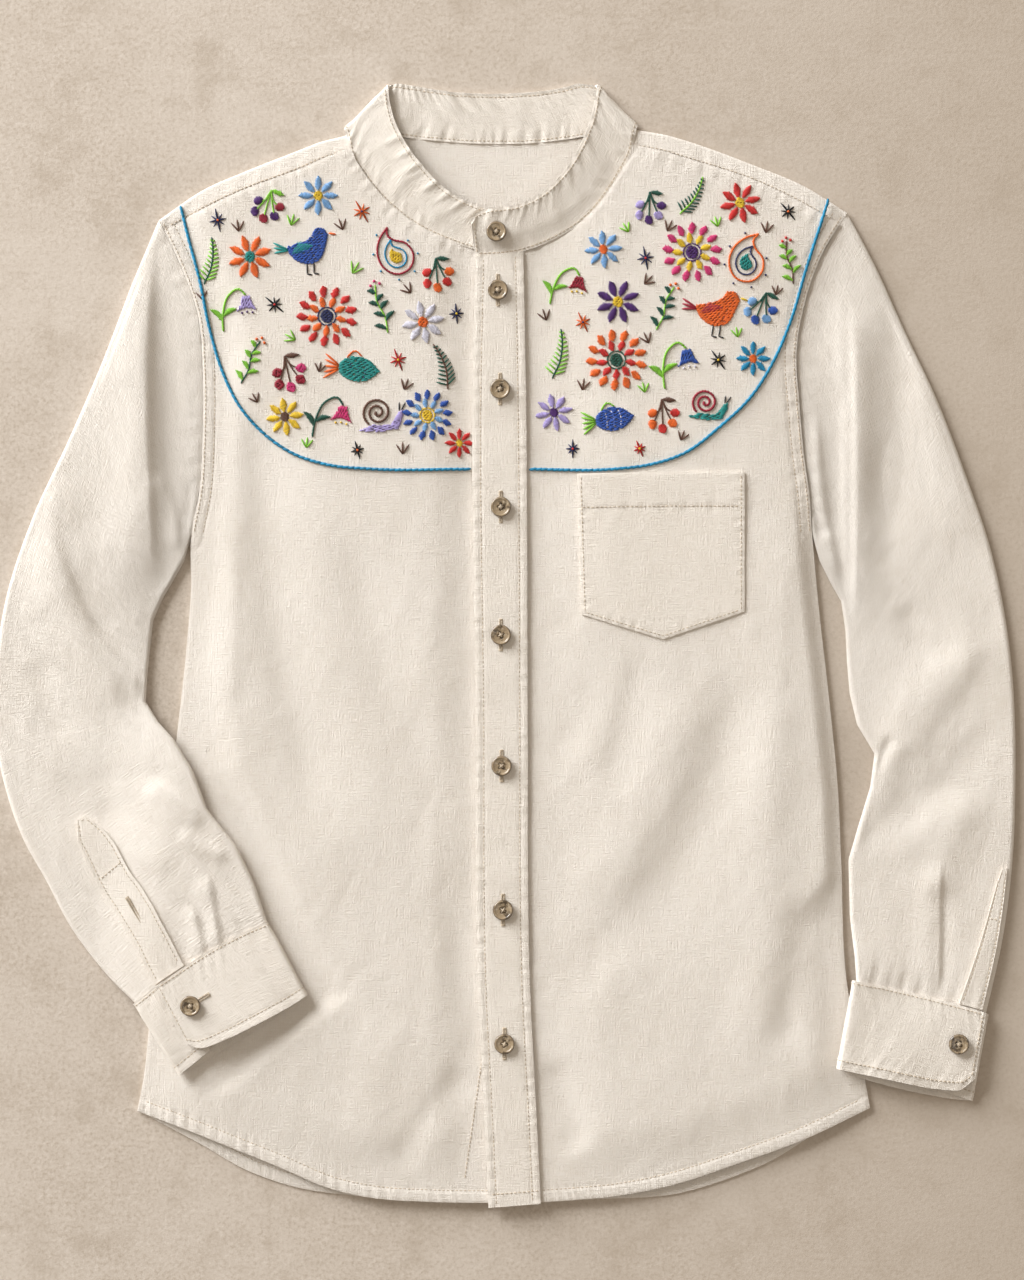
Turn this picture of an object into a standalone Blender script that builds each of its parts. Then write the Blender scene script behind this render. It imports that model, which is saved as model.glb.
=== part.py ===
"""Long-sleeved shirt with a band collar, buttoned and laid flat on its back.

The frame: millimetres in the tables below, metres in the finished meshes. +Z is up, +Y runs from the
hem to the collar, +X is the wearer's left. The origin is the middle of the shirt's outline on the
surface it lies on. Every panel is a closed wall of cloth. The back lies on the surface, the fronts lie
on the back, and the placket, pocket and buttons lie on the fronts. Sleeves are flattened tubes, and the
forearm of the right sleeve is folded over the front.
"""
import math
from collections import namedtuple

import bmesh
import bpy
import numpy as np

MM = 0.001

# Driving dimensions, millimetres
CLOTH = 1.3            # wall of a single panel
DOUBLE = 2.2           # wall of the collar band, cuffs and placket, which are two layers and interlining
PATCH = 1.1            # wall of a piece sewn flat on a panel
SEAM_GAP = 0.6         # between two pieces that are sewn edge to edge
ARMHOLE_GAP = 0.85     # the same along the curved armhole seams
LAY_GAP = 0.45         # between a piece and the panel it lies on
SLEEVE_LAY_GAP = 0.7   # the same on a sleeve, whose surface bends both ways
HOLD_GAP = 0.3         # between a button and the cloth it is sewn to
FRONT_LIFT = 4.0       # underside of the fronts above the surface, away from their edges
SIDE_LIFT = 1.65       # underside of the fronts at the side seams
SEAM_DIP = 1.0         # how far a panel sinks along the armhole seam
EDGE_WIDTH = 22.0      # width over which a panel rises from its edge
TUBE_ROUND = 2.7       # radius of a sleeve's folded edge, in plan
RAMP = 28.0            # width over which a sleeve climbs onto the front
RAMP_START = 22.0      # where that climb starts, outside the side seam
FOREARM_LIFT = 6.4     # underside of the right forearm where it lies on the front
CUFF_LIFT = 5.2        # underside of the left cuff where it lies on the front's edge
BUTTON_WIDTH = 14.0
BUTTON_HEIGHT = 3.0
BUTTON_HOLE = 1.7
BUTTON_HOLE_PITCH = 3.4

# How many steps the grids have
FRONT_ROWS = 33
YOKE_SEAM_STEPS = 7
NECK_STEPS = 10
SLEEVE_RINGS = 20
SLEEVE_UNDER_STEPS = 8
SLEEVE_UPPER_STEPS = 12
BACK_COLUMNS = 16
BACK_SIDE_ROWS = 8
BACK_ARMHOLE_ROWS = 12

Point = namedtuple("Point", "x y")
Fold = namedtuple("Fold", "x0 y0 x1 y1 x2 y2 rise left right")
Strip = namedtuple("Strip", "seam_x seam_y seam_z edge_x edge_y edge_z")
Ring = namedtuple("Ring", "outer_x outer_y inner_x inner_y height")

# Body edges, hem to shoulder: side seam up to the armpit, then the armhole
ARMPIT_Y = 74
BACK_YOKE_Y = 250
RIGHT_EDGE = [Point(-253, -321), Point(-249, -300), Point(-245, -264), Point(-236, -165), Point(-226, -65),
              Point(-219, -1), Point(-216, 40), Point(-216, 74), Point(-210, 107), Point(-208, 142),
              Point(-208, 190), Point(-211, 226), Point(-223, 261), Point(-238, 293)]
LEFT_EDGE = [Point(252, -319), Point(246, -287), Point(236, -233), Point(232, -148), Point(230, -103),
             Point(224, -40), Point(217, 22), Point(212, 76), Point(210, 102), Point(206, 132),
             Point(203, 166), Point(201, 201), Point(207, 237), Point(219, 270), Point(236, 298)]
HEM_RIGHT = [Point(-253, -321), Point(-218, -334), Point(-188, -346), Point(-158, -358), Point(-117, -375),
             Point(-87, -381), Point(-56, -383), Point(12, -384)]
HEM_LEFT = [Point(17, -384), Point(47, -382), Point(78, -379), Point(114, -372), Point(163, -356),
            Point(202, -342), Point(252, -319)]
HEM_BACK = [Point(-253, -321), Point(-208, -345), Point(-178, -362), Point(-147, -373), Point(-101, -380),
            Point(0, -383), Point(66, -382), Point(120, -378), Point(154, -368), Point(183, -356),
            Point(221, -333), Point(252, -319)]
STAND_EDGE = [Point(12, -384), Point(5, -245), Point(3, -38), Point(2, 160), Point(1, 268)]
PLACKET_SEAM = [Point(17, -384), Point(10, -245), Point(8, -38), Point(7, 160), Point(8, 270)]

# Shoulders and neck
SHOULDER_RIGHT = [Point(-238, 293), Point(-205, 315), Point(-182, 325), Point(-134, 344), Point(-111.5, 353)]
SHOULDER_LEFT = [Point(93, 356.5), Point(124, 348), Point(171, 331), Point(207, 316), Point(236, 298)]
YOKE_SEAM_RIGHT = [Point(-233, 286), Point(-182, 312), Point(-137, 329), Point(-110, 342)]
YOKE_SEAM_LEFT = [Point(93, 344.5), Point(124, 335), Point(171, 320), Point(230, 290)]
NECK_FRONT_RIGHT = [Point(-110, 342), Point(-101, 331), Point(-91, 317), Point(-75, 300), Point(-56, 287),
                    Point(-38, 279), Point(-20, 273), Point(1, 268)]
NECK_FRONT_LEFT = [Point(8, 270), Point(31, 278), Point(51, 290), Point(67, 306), Point(80, 326),
                   Point(93, 344.5)]
NECK_BACK = [Point(-111.5, 353), Point(-68, 349.5), Point(-16, 346), Point(31, 347), Point(93, 356.5)]

# Collar band, from the over end round the back to the under end: its seam, its upper edge, and the
# heights of the middle of its wall. The upper edge stands up from the neck on the fronts.
BAND_FRONT_LEFT = [
    Strip(-20.5, 269.5, 8.4, -23.0, 291.0, 10.2),
    Strip(-17.0, 269.4, 8.4, -19.5, 296.0, 10.3),
    Strip(-7.0, 269.6, 8.3, -8.0, 300.0, 10.4),
    Strip(6.0, 271.0, 7.8, 5.0, 301.5, 10.4),
    Strip(20.0, 275.0, 7.0, 16.0, 305.0, 10.0),
    Strip(36.0, 282.0, 6.2, 27.0, 311.5, 9.7),
    Strip(50.3, 290.8, 5.8, 37.0, 321.0, 9.5),
    Strip(62.0, 302.0, 5.6, 45.0, 331.0, 9.1),
    Strip(71.5, 315.0, 5.4, 51.0, 341.5, 8.7),
    Strip(79.6, 328.0, 5.2, 56.5, 354.0, 7.8),
    Strip(86.0, 341.0, 5.1, 60.5, 366.0, 6.6),
    Strip(88.4, 351.0, 5.0, 62.5, 378.0, 5.4)]
BAND_BACK = [
    Strip(76.0, 356.2, 1.1, 52.0, 387.0, 1.1),
    Strip(54.0, 351.9, 1.1, 40.0, 384.2, 1.1),
    Strip(31.0, 348.6, 1.1, 16.0, 381.0, 1.1),
    Strip(7.0, 346.9, 1.1, -9.0, 380.0, 1.1),
    Strip(-16.0, 347.0, 1.1, -32.0, 381.0, 1.1),
    Strip(-48.0, 349.2, 1.1, -54.0, 384.0, 1.1),
    Strip(-70.0, 351.6, 1.1, -66.0, 386.0, 1.1),
    Strip(-92.0, 354.0, 1.1, -74.0, 387.0, 1.1)]
BAND_FRONT_RIGHT = [
    Strip(-107.0, 350.0, 5.0, -79.5, 378.0, 5.4),
    Strip(-104.0, 337.0, 5.1, -76.5, 364.0, 6.6),
    Strip(-95.8, 324.6, 5.2, -70.5, 350.0, 7.8),
    Strip(-86.4, 312.4, 5.3, -63.0, 338.0, 8.7),
    Strip(-74.6, 300.9, 5.4, -54.0, 327.0, 9.1),
    Strip(-61.5, 291.4, 5.4, -43.5, 316.0, 9.1),
    Strip(-47.5, 284.0, 5.3, -31.0, 307.5, 8.4),
    Strip(-33.0, 278.2, 5.2, -18.0, 302.0, 7.5),
    Strip(-18.0, 273.4, 5.1, -8.0, 298.0, 6.8),
    Strip(-5.0, 270.6, 5.0, 2.0, 296.0, 6.6)]
BAND_FOLD_LEFT = Strip(90.2, 358.6, 3.0, 63.5, 385.5, 3.1)
BAND_FOLD_RIGHT = Strip(-108.6, 356.0, 3.0, -80.0, 385.5, 3.1)

# Sleeves, armhole to cuff: the outer edge, the inner edge and the height of the flattened tube
SLEEVE_RIGHT = [
    Ring(-238, 293, -216, 74, 4.3), Ring(-255, 252, -221, 57, 4.6), Ring(-277, 195, -229, 43, 4.8),
    Ring(-300, 142, -236, 31, 4.8), Ring(-325, 88, -242, 17, 4.8), Ring(-344, 30, -244, 0, 4.7),
    Ring(-351, -22, -246, -20, 4.5), Ring(-351, -62, -247, -39, 4.6), Ring(-343, -102, -238, -53, 5.0),
    Ring(-332, -133, -227, -65, 5.2), Ring(-316, -162, -214, -86, 5.2), Ring(-299, -194, -204, -113, 5.2),
    Ring(-284, -215, -184, -138, 5.2), Ring(-269, -232, -172, -163, 5.0), Ring(-254, -246, -163, -190, 5.0)]
SLEEVE_LEFT = [
    Ring(236, 298, 212, 76, 4.3), Ring(254, 264, 217, 58, 4.6), Ring(277, 214, 225, 42, 4.8),
    Ring(298, 169, 232, 30, 4.8), Ring(319, 114, 235, 10, 4.8), Ring(334, 70, 236, -12, 4.7),
    Ring(345, 20, 238, -34, 4.6), Ring(350, -20, 243, -55, 4.8), Ring(352, -61, 255, -75, 5.0),
    Ring(352, -100, 252, -98, 5.0), Ring(351, -135, 244, -124, 5.0), Ring(348, -170, 237, -148, 5.0),
    Ring(343, -204, 238, -187, 5.0), Ring(337, -232, 241, -214, 5.0), Ring(332, -253, 242, -231, 5.0)]
CUFF_SEAM_RIGHT = [Point(-254, -246), Point(-239, -234), Point(-221, -222), Point(-198, -207),
                   Point(-163, -190)]
CUFF_SEAM_LEFT = [Point(332, -253), Point(298, -244), Point(272, -238), Point(242, -231)]

# Cuffs, from the over end along the upper layer, round the fold, under, and round to the under end.
# The heights are those of the wall's middle above what the cuff lies on.
CUFF_RIGHT_UPPER = [
    Strip(-239.0, -235.4, 6.9, -219.0, -272.0, 8.3), Strip(-233.0, -231.2, 6.9, -209.0, -276.0, 8.8),
    Strip(-220.5, -222.8, 6.4, -190.0, -269.6, 9.2), Strip(-207.0, -213.8, 5.6, -172.0, -261.0, 9.0),
    Strip(-191.0, -204.6, 4.7, -155.0, -252.2, 7.6), Strip(-175.0, -196.8, 4.2, -144.0, -246.0, 5.6)]
CUFF_RIGHT_FOLD = Strip(-162.5, -191.5, 2.6, -136.0, -240.5, 2.8)
CUFF_RIGHT_UNDER = [
    Strip(-176.0, -197.4, 1.1, -146.0, -247.0, 1.1), Strip(-198.0, -208.2, 1.1, -172.0, -265.0, 1.1),
    Strip(-221.0, -223.0, 1.1, -198.0, -281.0, 1.1), Strip(-239.0, -235.6, 1.1, -213.0, -290.0, 1.1)]
CUFF_RIGHT_TURN = Strip(-254.0, -247.5, 2.4, -223.0, -295.0, 2.5)
CUFF_RIGHT_END = [
    Strip(-240.0, -236.6, 3.9, -213.0, -287.0, 4.0), Strip(-228.0, -228.4, 3.9, -202.0, -278.0, 4.1)]
CUFF_LEFT_UPPER = [
    Strip(331.0, -254.2, 6.9, 323.5, -298.0, 7.9), Strip(323.0, -251.8, 6.9, 311.0, -306.0, 8.4),
    Strip(309.0, -248.0, 6.5, 294.0, -304.6, 9.0), Strip(294.0, -244.0, 5.8, 276.0, -301.0, 9.2),
    Strip(278.0, -240.3, 5.0, 258.0, -297.0, 8.4), Strip(260.0, -236.0, 4.3, 243.0, -294.0, 6.4)]
CUFF_LEFT_FOLD = Strip(240.0, -231.9, 2.6, 229.0, -291.0, 2.8)
CUFF_LEFT_UNDER = [
    Strip(256.0, -235.3, 1.1, 245.0, -297.6, 1.1), Strip(276.0, -239.9, 1.1, 266.0, -304.0, 1.1),
    Strip(297.0, -244.9, 1.1, 292.0, -310.0, 1.1), Strip(317.0, -250.2, 1.1, 310.0, -313.0, 1.1)]
CUFF_LEFT_TURN = Strip(332.5, -255.5, 2.4, 322.0, -314.0, 2.5)
CUFF_LEFT_END = [
    Strip(319.0, -252.0, 3.9, 311.0, -310.0, 4.0), Strip(306.0, -248.0, 3.9, 299.0, -307.0, 4.1)]

# Largest folds: a line through three points, its rise there (a trough is negative), and how far it
# reaches to its left and to its right, seen along the line
FRONT_FOLDS = [
    Fold(-205, 104, -204, 40, -206, -50, 1.3, 15, 13),
    Fold(-193, 86, -183, 3, -151, -114, -2.0, 15, 13),
    Fold(-131, 104, -78, -79, -24, -252, -2.2, 13, 18),
    Fold(-142, 66, -133, -60, -118, -190, 1.2, 17, 17),
    Fold(-24, -288, -52, -321, -78, -364, -2.2, 11, 10),
    Fold(-70, -250, -92, -300, -100, -360, 0.9, 15, 15),
    Fold(168, 0, 122, -128, 34, -254, -2.3, 15, 15),
    Fold(186, 6, 180, -150, 168, -310, 1.3, 20, 18),
    Fold(206, -170, 200, -230, 188, -286, -2.0, 13, 11),
    Fold(30, -284, 43, -318, 54, -352, -1.7, 11, 11),
    Fold(82, 20, 63, -30, 36, -84, -1.5, 13, 13),
    Fold(120, -30, 92, -110, 50, -180, 0.9, 14, 14)]
SLEEVE_RIGHT_FOLDS = [
    Fold(-258, 256, -247, 160, -242, 16, 2.6, 11, 36),
    Fold(-238, 256, -229, 160, -228, 56, -1.2, 9, 12),
    Fold(-324, 70, -278, -14, -210, -92, 2.8, 8, 28),
    Fold(-306, 44, -262, -18, -240, -52, -1.5, 14, 8),
    Fold(-322, -84, -290, -112, -228, -108, -1.6, 12, 10),
    Fold(-304, -122, -262, -142, -222, -152, 1.1, 12, 12),
    Fold(-198, -156, -202, -182, -206, -208, -1.1, 7, 7)]
SLEEVE_LEFT_FOLDS = [
    Fold(233, 254, 236, 160, 234, 26, 2.4, 24, 9),
    Fold(254, 240, 256, 160, 254, 66, -1.3, 12, 10),
    Fold(342, 36, 300, -18, 248, -64, 2.5, 14, 17),
    Fold(328, -28, 276, -70, 262, -142, -1.8, 12, 12),
    Fold(340, -110, 296, -122, 262, -150, 0.9, 14, 14),
    Fold(302, -160, 299, -200, 298, -244, -1.5, 8, 8)]

# Pieces sewn on a sleeve, in shares of its length (0 armhole, 1 cuff) and of its width (0 outer edge)
Opening = namedtuple("Opening", "length left right")
SLEEVE_PLACKET_RIGHT = [Opening(0.785, 0.32, 0.36), Opening(0.81, 0.26, 0.41), Opening(0.84, 0.255, 0.44),
                        Opening(0.90, 0.255, 0.455), Opening(0.95, 0.235, 0.43), Opening(0.99, 0.185, 0.405)]
SLEEVE_PLACKET_LEFT = [Opening(0.825, 0.035, 0.06), Opening(0.845, 0.035, 0.085), Opening(0.875, 0.035, 0.11),
                       Opening(0.925, 0.035, 0.15), Opening(0.99, 0.04, 0.21)]

POCKET_TOP = [Point(50, 118), Point(108, 119), Point(165, 119)]
POCKET_BOTTOM = [Point(53, 21), Point(109, 4), Point(165, 23)]
PLACKET_LEFT = [Point(-11, -387), Point(-14, -322), Point(-18, -245), Point(-20, -38), Point(-22, 160),
                Point(-20, 267.5)]
PLACKET_RIGHT = [Point(25, -384), Point(22, -322), Point(18, -245), Point(16, -38), Point(15, 160),
                 Point(13, 270.5)]
FRONT_BUTTONS = [Point(-4.5, 244), Point(-3, 176), Point(-2.5, 95), Point(-2.5, 7), Point(-2, -83),
                 Point(-1, -182), Point(0, -274)]
COLLAR_BUTTON = Point(-5.5, 284)
CUFF_BUTTON_RIGHT = Point(-215, -247)
CUFF_BUTTON_LEFT = Point(312, -274)

COTTON = (0.80, 0.73, 0.63)
COTTON_DOUBLE = (0.82, 0.75, 0.65)
HORN = (0.33, 0.26, 0.18)


def spline(points, shares):
    """Smooth curve through points, read at shares (0 to 1) of its chord length."""
    knots = np.asarray(points, float)
    steps = np.linalg.norm(np.diff(knots[:, :2], axis=0), axis=1)
    at = np.concatenate([[0.0], np.cumsum(steps)])
    slope = np.gradient(knots, at, axis=0)
    where = np.clip(np.asarray(shares, float), 0.0, 1.0) * at[-1]
    index = np.clip(np.searchsorted(at, where, side="right") - 1, 0, len(at) - 2)
    span = steps[index]
    t = ((where - at[index]) / span)[:, None]
    span = span[:, None]
    start, end = knots[index], knots[index + 1]
    return ((2 * t ** 3 - 3 * t ** 2 + 1) * start + (t ** 3 - 2 * t ** 2 + t) * span * slope[index]
            + (3 * t ** 2 - 2 * t ** 3) * end + (t ** 3 - t ** 2) * span * slope[index + 1])


def smooth_step(value):
    """0 below 0, 1 above 1, and a smooth rise between."""
    t = np.clip(value, 0.0, 1.0)
    return t * t * (3.0 - 2.0 * t)


def edge_x(edge, y):
    """The x of a body edge, which runs from hem to shoulder, at the heights y."""
    line = spline(edge, np.linspace(0.0, 1.0, 160))
    return np.interp(y, line[:, 1], line[:, 0])


def edge_points(edge, low, high, count):
    """Points of a body edge between two heights, evenly spaced in y."""
    y = np.linspace(low, high, count)
    return np.column_stack([edge_x(edge, y), y])


def yoke_seam(points, edge, shares):
    """The yoke seam, whose outer end is put exactly on the armhole."""
    ends = [Point(edge_x(edge, point.y), point.y) if point in (YOKE_SEAM_RIGHT[0], YOKE_SEAM_LEFT[-1]) else point
            for point in points]
    return spline(ends, shares)


def coons(bottom, top, left, right):
    """Fill four edge curves. bottom and top run left to right, left and right run bottom to top."""
    across = np.linspace(0.0, 1.0, len(bottom))[None, :, None]
    along = np.linspace(0.0, 1.0, len(left))[:, None, None]
    rows = (1 - along) * bottom[None] + along * top[None]
    columns = (1 - across) * left[:, None] + across * right[:, None]
    corners = ((1 - across) * (1 - along) * bottom[0] + across * (1 - along) * bottom[-1]
               + (1 - across) * along * top[0] + across * along * top[-1])
    return rows + columns - corners


def fold_height(x, y, folds):
    """Sum of folds: each falls off as a bell curve from its line, and fades out at its two ends."""
    total = np.zeros_like(x)
    for fold in folds:
        corners = np.array([[fold.x0, fold.y0], [fold.x1, fold.y1], [fold.x2, fold.y2]], float)
        line = spline(corners, np.linspace(0.0, 1.0, 15))
        nearest = np.full(x.shape, 1e9)
        side = np.zeros_like(x)
        share = np.zeros_like(x)
        for number, (start, end) in enumerate(zip(line[:-1], line[1:])):
            step = end - start
            t = np.clip(((x - start[0]) * step[0] + (y - start[1]) * step[1]) / (step @ step), 0.0, 1.0)
            off_x = x - start[0] - t * step[0]
            off_y = y - start[1] - t * step[1]
            distance = np.hypot(off_x, off_y)
            closer = distance < nearest
            nearest = np.where(closer, distance, nearest)
            side = np.where(closer, step[0] * off_y - step[1] * off_x, side)
            share = np.where(closer, (number + t) / (len(line) - 1), share)
        width = np.where(side > 0, fold.left, fold.right)
        ends = smooth_step(share / 0.22) * smooth_step((1 - share) / 0.22)
        total += fold.rise * ends * np.exp(-(nearest / width) ** 2)
    return total


def front_lift(x, y):
    """Underside of the fronts above the surface: low at the side seams, a little low at the armholes."""
    inset = np.minimum(x - edge_x(RIGHT_EDGE, y), edge_x(LEFT_EDGE, y) - x)
    near = np.exp(-(np.maximum(inset, 0.0) / EDGE_WIDTH) ** 2)
    at_side = smooth_step((ARMPIT_Y + 20.0 - y) / 40.0)
    drop = at_side * (FRONT_LIFT - SIDE_LIFT) + (1 - at_side) * SEAM_DIP
    folds = fold_height(x, y, FRONT_FOLDS) * (1 - near)
    return np.maximum(FRONT_LIFT - drop * near + folds, SIDE_LIFT)


def body_climb(x, y, edge, sign, level, from_y):
    """Height of what a sleeve lies on: the surface, or above the front once past the side seam."""
    inside = (x - edge_x(edge, y)) * sign
    onto = smooth_step((from_y - y) / 30.0)
    return level * onto * smooth_step((inside + RAMP_START) / RAMP)


def under_right_sleeve(x, y):
    """What the right sleeve lies on, which reaches the front at the elbow."""
    return body_climb(x, y, RIGHT_EDGE, 1.0, FOREARM_LIFT, -20.0)


def under_left_sleeve(x, y):
    """What the left sleeve lies on, which only reaches the front at the cuff."""
    return body_climb(x, y, LEFT_EDGE, -1.0, CUFF_LIFT, -206.0)


def with_height(plan, height):
    """Join plan points and their heights into points in space."""
    return np.concatenate([plan, np.asarray(height)[..., None]], axis=-1)


def shell(name, outer, inner, material, keep=None, around=False):
    """Closed wall between two grids of points in millimetres; keep says which cells are cloth."""
    rows, columns = outer.shape[:2]
    cells_across = columns if around else columns - 1
    if keep is None:
        keep = np.ones((rows - 1, cells_across), bool)
    count = rows * columns

    def at(row, column):
        return row * columns + column % columns

    faces = []
    for row in range(rows - 1):
        for column in range(cells_across):
            if not keep[row, column]:
                continue
            corners = [at(row, column), at(row, column + 1), at(row + 1, column + 1), at(row + 1, column)]
            faces.append(corners)
            faces.append([count + corner for corner in reversed(corners)])
            before, after = column - 1, column + 1
            if around:
                before, after = before % columns, after % columns
            open_sides = [row == 0 or not keep[row - 1, column],
                          after >= cells_across or not keep[row, after],
                          row == rows - 2 or not keep[row + 1, column],
                          before < 0 or not keep[row, before]]
            for side, is_open in enumerate(open_sides):
                if is_open:
                    start, end = corners[side], corners[(side + 1) % 4]
                    faces.append([end, start, count + start, count + end])
    points = np.concatenate([outer.reshape(-1, 3), inner.reshape(-1, 3)]) * MM
    mesh = bpy.data.meshes.new(name)
    mesh.from_pydata(points.tolist(), [], faces)
    work = bmesh.new()
    work.from_mesh(mesh)
    bmesh.ops.delete(work, geom=[vert for vert in work.verts if not vert.link_faces], context="VERTS")
    bmesh.ops.triangulate(work, faces=work.faces)
    bmesh.ops.recalc_face_normals(work, faces=work.faces)
    work.to_mesh(mesh)
    work.free()
    mesh.shade_smooth()
    mesh.set_sharp_from_angle(angle=math.radians(40))
    mesh.materials.append(material)
    part = bpy.data.objects.new(name, mesh)
    bpy.context.scene.collection.objects.link(part)
    return part


def laid(name, plan, underside, thickness, material, keep=None):
    """Wall that lies on something: its plan points at the height of the underside, and up from there."""
    return shell(name, with_height(plan, underside + thickness), with_height(plan, underside), material, keep)


def cloth_material(name, colour, roughness=0.9):
    """Plain principled material for one finish."""
    material = bpy.data.materials.new(name)
    material.use_nodes = True
    shader = material.node_tree.nodes["Principled BSDF"]
    shader.inputs["Base Color"].default_value = (*colour, 1.0)
    shader.inputs["Roughness"].default_value = roughness
    shader.inputs["Metallic"].default_value = 0.0
    return material


def build_back(material):
    """Back panel below the yoke, flat on the surface."""
    bottom = spline(HEM_BACK, np.linspace(0.0, 1.0, BACK_COLUMNS + 1))
    left, right = (np.concatenate([edge_points(edge, edge[0].y, ARMPIT_Y, BACK_SIDE_ROWS + 1)[:-1],
                                   edge_points(edge, ARMPIT_Y, BACK_YOKE_Y - SEAM_GAP, BACK_ARMHOLE_ROWS + 1)])
                   for edge in (RIGHT_EDGE, LEFT_EDGE))
    top = np.linspace(left[-1], right[-1], BACK_COLUMNS + 1)
    plan = coons(bottom, top, left, right)
    laid("back", plan, np.zeros(plan.shape[:2]), CLOTH, material)


def front_plan(hem, top, side, centre, side_is_left):
    """Plan of a front: the hem, the side seam and armhole, the yoke seam and neck, and the opening."""
    across = YOKE_SEAM_STEPS + NECK_STEPS + 1
    bottom = spline(hem, np.linspace(0.0, 1.0, across))
    top_y = top[0][1] if side_is_left else top[-1][1]
    edge = edge_points(side, side[0].y, top_y, FRONT_ROWS + 1)
    inner = spline(centre, np.linspace(0.0, 1.0, FRONT_ROWS + 1))
    if side_is_left:
        return coons(bottom, top, edge, inner)
    return coons(bottom, top, inner, edge)


def build_fronts(material):
    """Right front with its button stand, and left front, which ends under the placket."""
    yoke_shares = np.linspace(0.0, 1.0, YOKE_SEAM_STEPS + 1)
    neck_shares = np.linspace(0.0, 1.0, NECK_STEPS + 1)
    top = np.concatenate([yoke_seam(YOKE_SEAM_RIGHT, RIGHT_EDGE, yoke_shares)[:-1],
                          spline(NECK_FRONT_RIGHT, neck_shares)])
    plan = front_plan(HEM_RIGHT, top, RIGHT_EDGE, STAND_EDGE, True)
    laid("front_right", plan, front_lift(plan[..., 0], plan[..., 1]), CLOTH, material)
    top = np.concatenate([spline(NECK_FRONT_LEFT, neck_shares)[:-1],
                          yoke_seam(YOKE_SEAM_LEFT, LEFT_EDGE, yoke_shares)])
    plan = front_plan(HEM_LEFT, top, LEFT_EDGE, PLACKET_SEAM, False)
    laid("front_left", plan, front_lift(plan[..., 0], plan[..., 1]), CLOTH, material)


def build_yoke(material):
    """Yoke: flat under the shoulders, folded over the shoulder lines onto the fronts."""
    shoulder_steps, neck_steps, under_steps = YOKE_SEAM_STEPS, 12, 4
    radius = (FRONT_LIFT - SEAM_DIP) / 2
    shares = np.linspace(0.0, 1.0, shoulder_steps + 1)
    right_line = spline(SHOULDER_RIGHT, shares)
    left_line = spline(SHOULDER_LEFT, shares)
    neck = spline(NECK_BACK, np.linspace(0.0, 1.0, neck_steps + 1))[1:-1]
    line = np.concatenate([right_line, neck, left_line])
    columns = len(line)
    is_right = np.arange(columns) <= shoulder_steps
    is_left = np.arange(columns) >= columns - shoulder_steps - 1
    out = np.zeros((columns, 2))
    out[is_right] = (-0.40, 0.917)
    out[is_left] = (0.36, 0.933)
    turn = radius + CLOTH / 2
    under_edge = line - out * turn
    bottom_left = [edge_x(RIGHT_EDGE, BACK_YOKE_Y), BACK_YOKE_Y]
    bottom_right = [edge_x(LEFT_EDGE, BACK_YOKE_Y), BACK_YOKE_Y]
    bottom = np.linspace(bottom_left, bottom_right, columns)
    left = np.column_stack([edge_x(RIGHT_EDGE, np.linspace(BACK_YOKE_Y, under_edge[0, 1], under_steps + 1)),
                            np.linspace(BACK_YOKE_Y, under_edge[0, 1], under_steps + 1)])
    right = np.column_stack([edge_x(LEFT_EDGE, np.linspace(BACK_YOKE_Y, under_edge[-1, 1], under_steps + 1)),
                             np.linspace(BACK_YOKE_Y, under_edge[-1, 1], under_steps + 1)])
    left[-1], right[-1] = under_edge[0], under_edge[-1]
    under = coons(bottom, under_edge, left, right)
    outer = [with_height(row, np.zeros(columns)) for row in under]
    inner = [with_height(row, np.full(columns, CLOTH)) for row in under]
    centre = radius + CLOTH / 2
    for angle in (-45.0, 0.0, 45.0):
        reach, rise = math.cos(math.radians(angle)), math.sin(math.radians(angle))
        for grid, size in ((outer, radius + CLOTH / 2), (inner, radius - CLOTH / 2)):
            row = under_edge + out * size * reach
            grid.append(with_height(row, np.full(columns, centre + size * rise)))
    right_seam = yoke_seam(YOKE_SEAM_RIGHT, RIGHT_EDGE, shares) + np.array([-0.40, 0.917]) * SEAM_GAP
    left_seam = yoke_seam(YOKE_SEAM_LEFT, LEFT_EDGE, shares) + np.array([0.36, 0.933]) * SEAM_GAP
    seam = np.concatenate([right_seam, neck, left_seam])
    for share in (0.0, 0.5, 1.0):
        row = under_edge + (seam - under_edge) * share
        height = front_lift(row[:, 0], row[:, 1])
        height = (1 - share) * (2 * radius) + share * height
        outer.append(with_height(row, height + CLOTH))
        inner.append(with_height(row, height))
    outer, inner = np.array(outer), np.array(inner)
    keep = np.ones((len(outer) - 1, columns - 1), bool)
    keep[under_steps:, shoulder_steps:columns - shoulder_steps - 1] = False
    shell("yoke", outer, inner, material, keep)


def fold_over(before, line, after, radius):
    """Three strips round a folded edge, between the strip before it and the strip after it."""
    line = np.array(line, float)
    strips = []
    for source in (before, after):
        strip = line.copy()
        for start in (0, 3):
            inward = np.array(source[start:start + 2]) - line[start:start + 2]
            inward = inward / max(np.linalg.norm(inward), 1e-9)
            strip[start:start + 2] += inward * radius
            strip[start + 2] = source[start + 2]
        strips.append(strip)
    return [strips[0], line, strips[1]]


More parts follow.
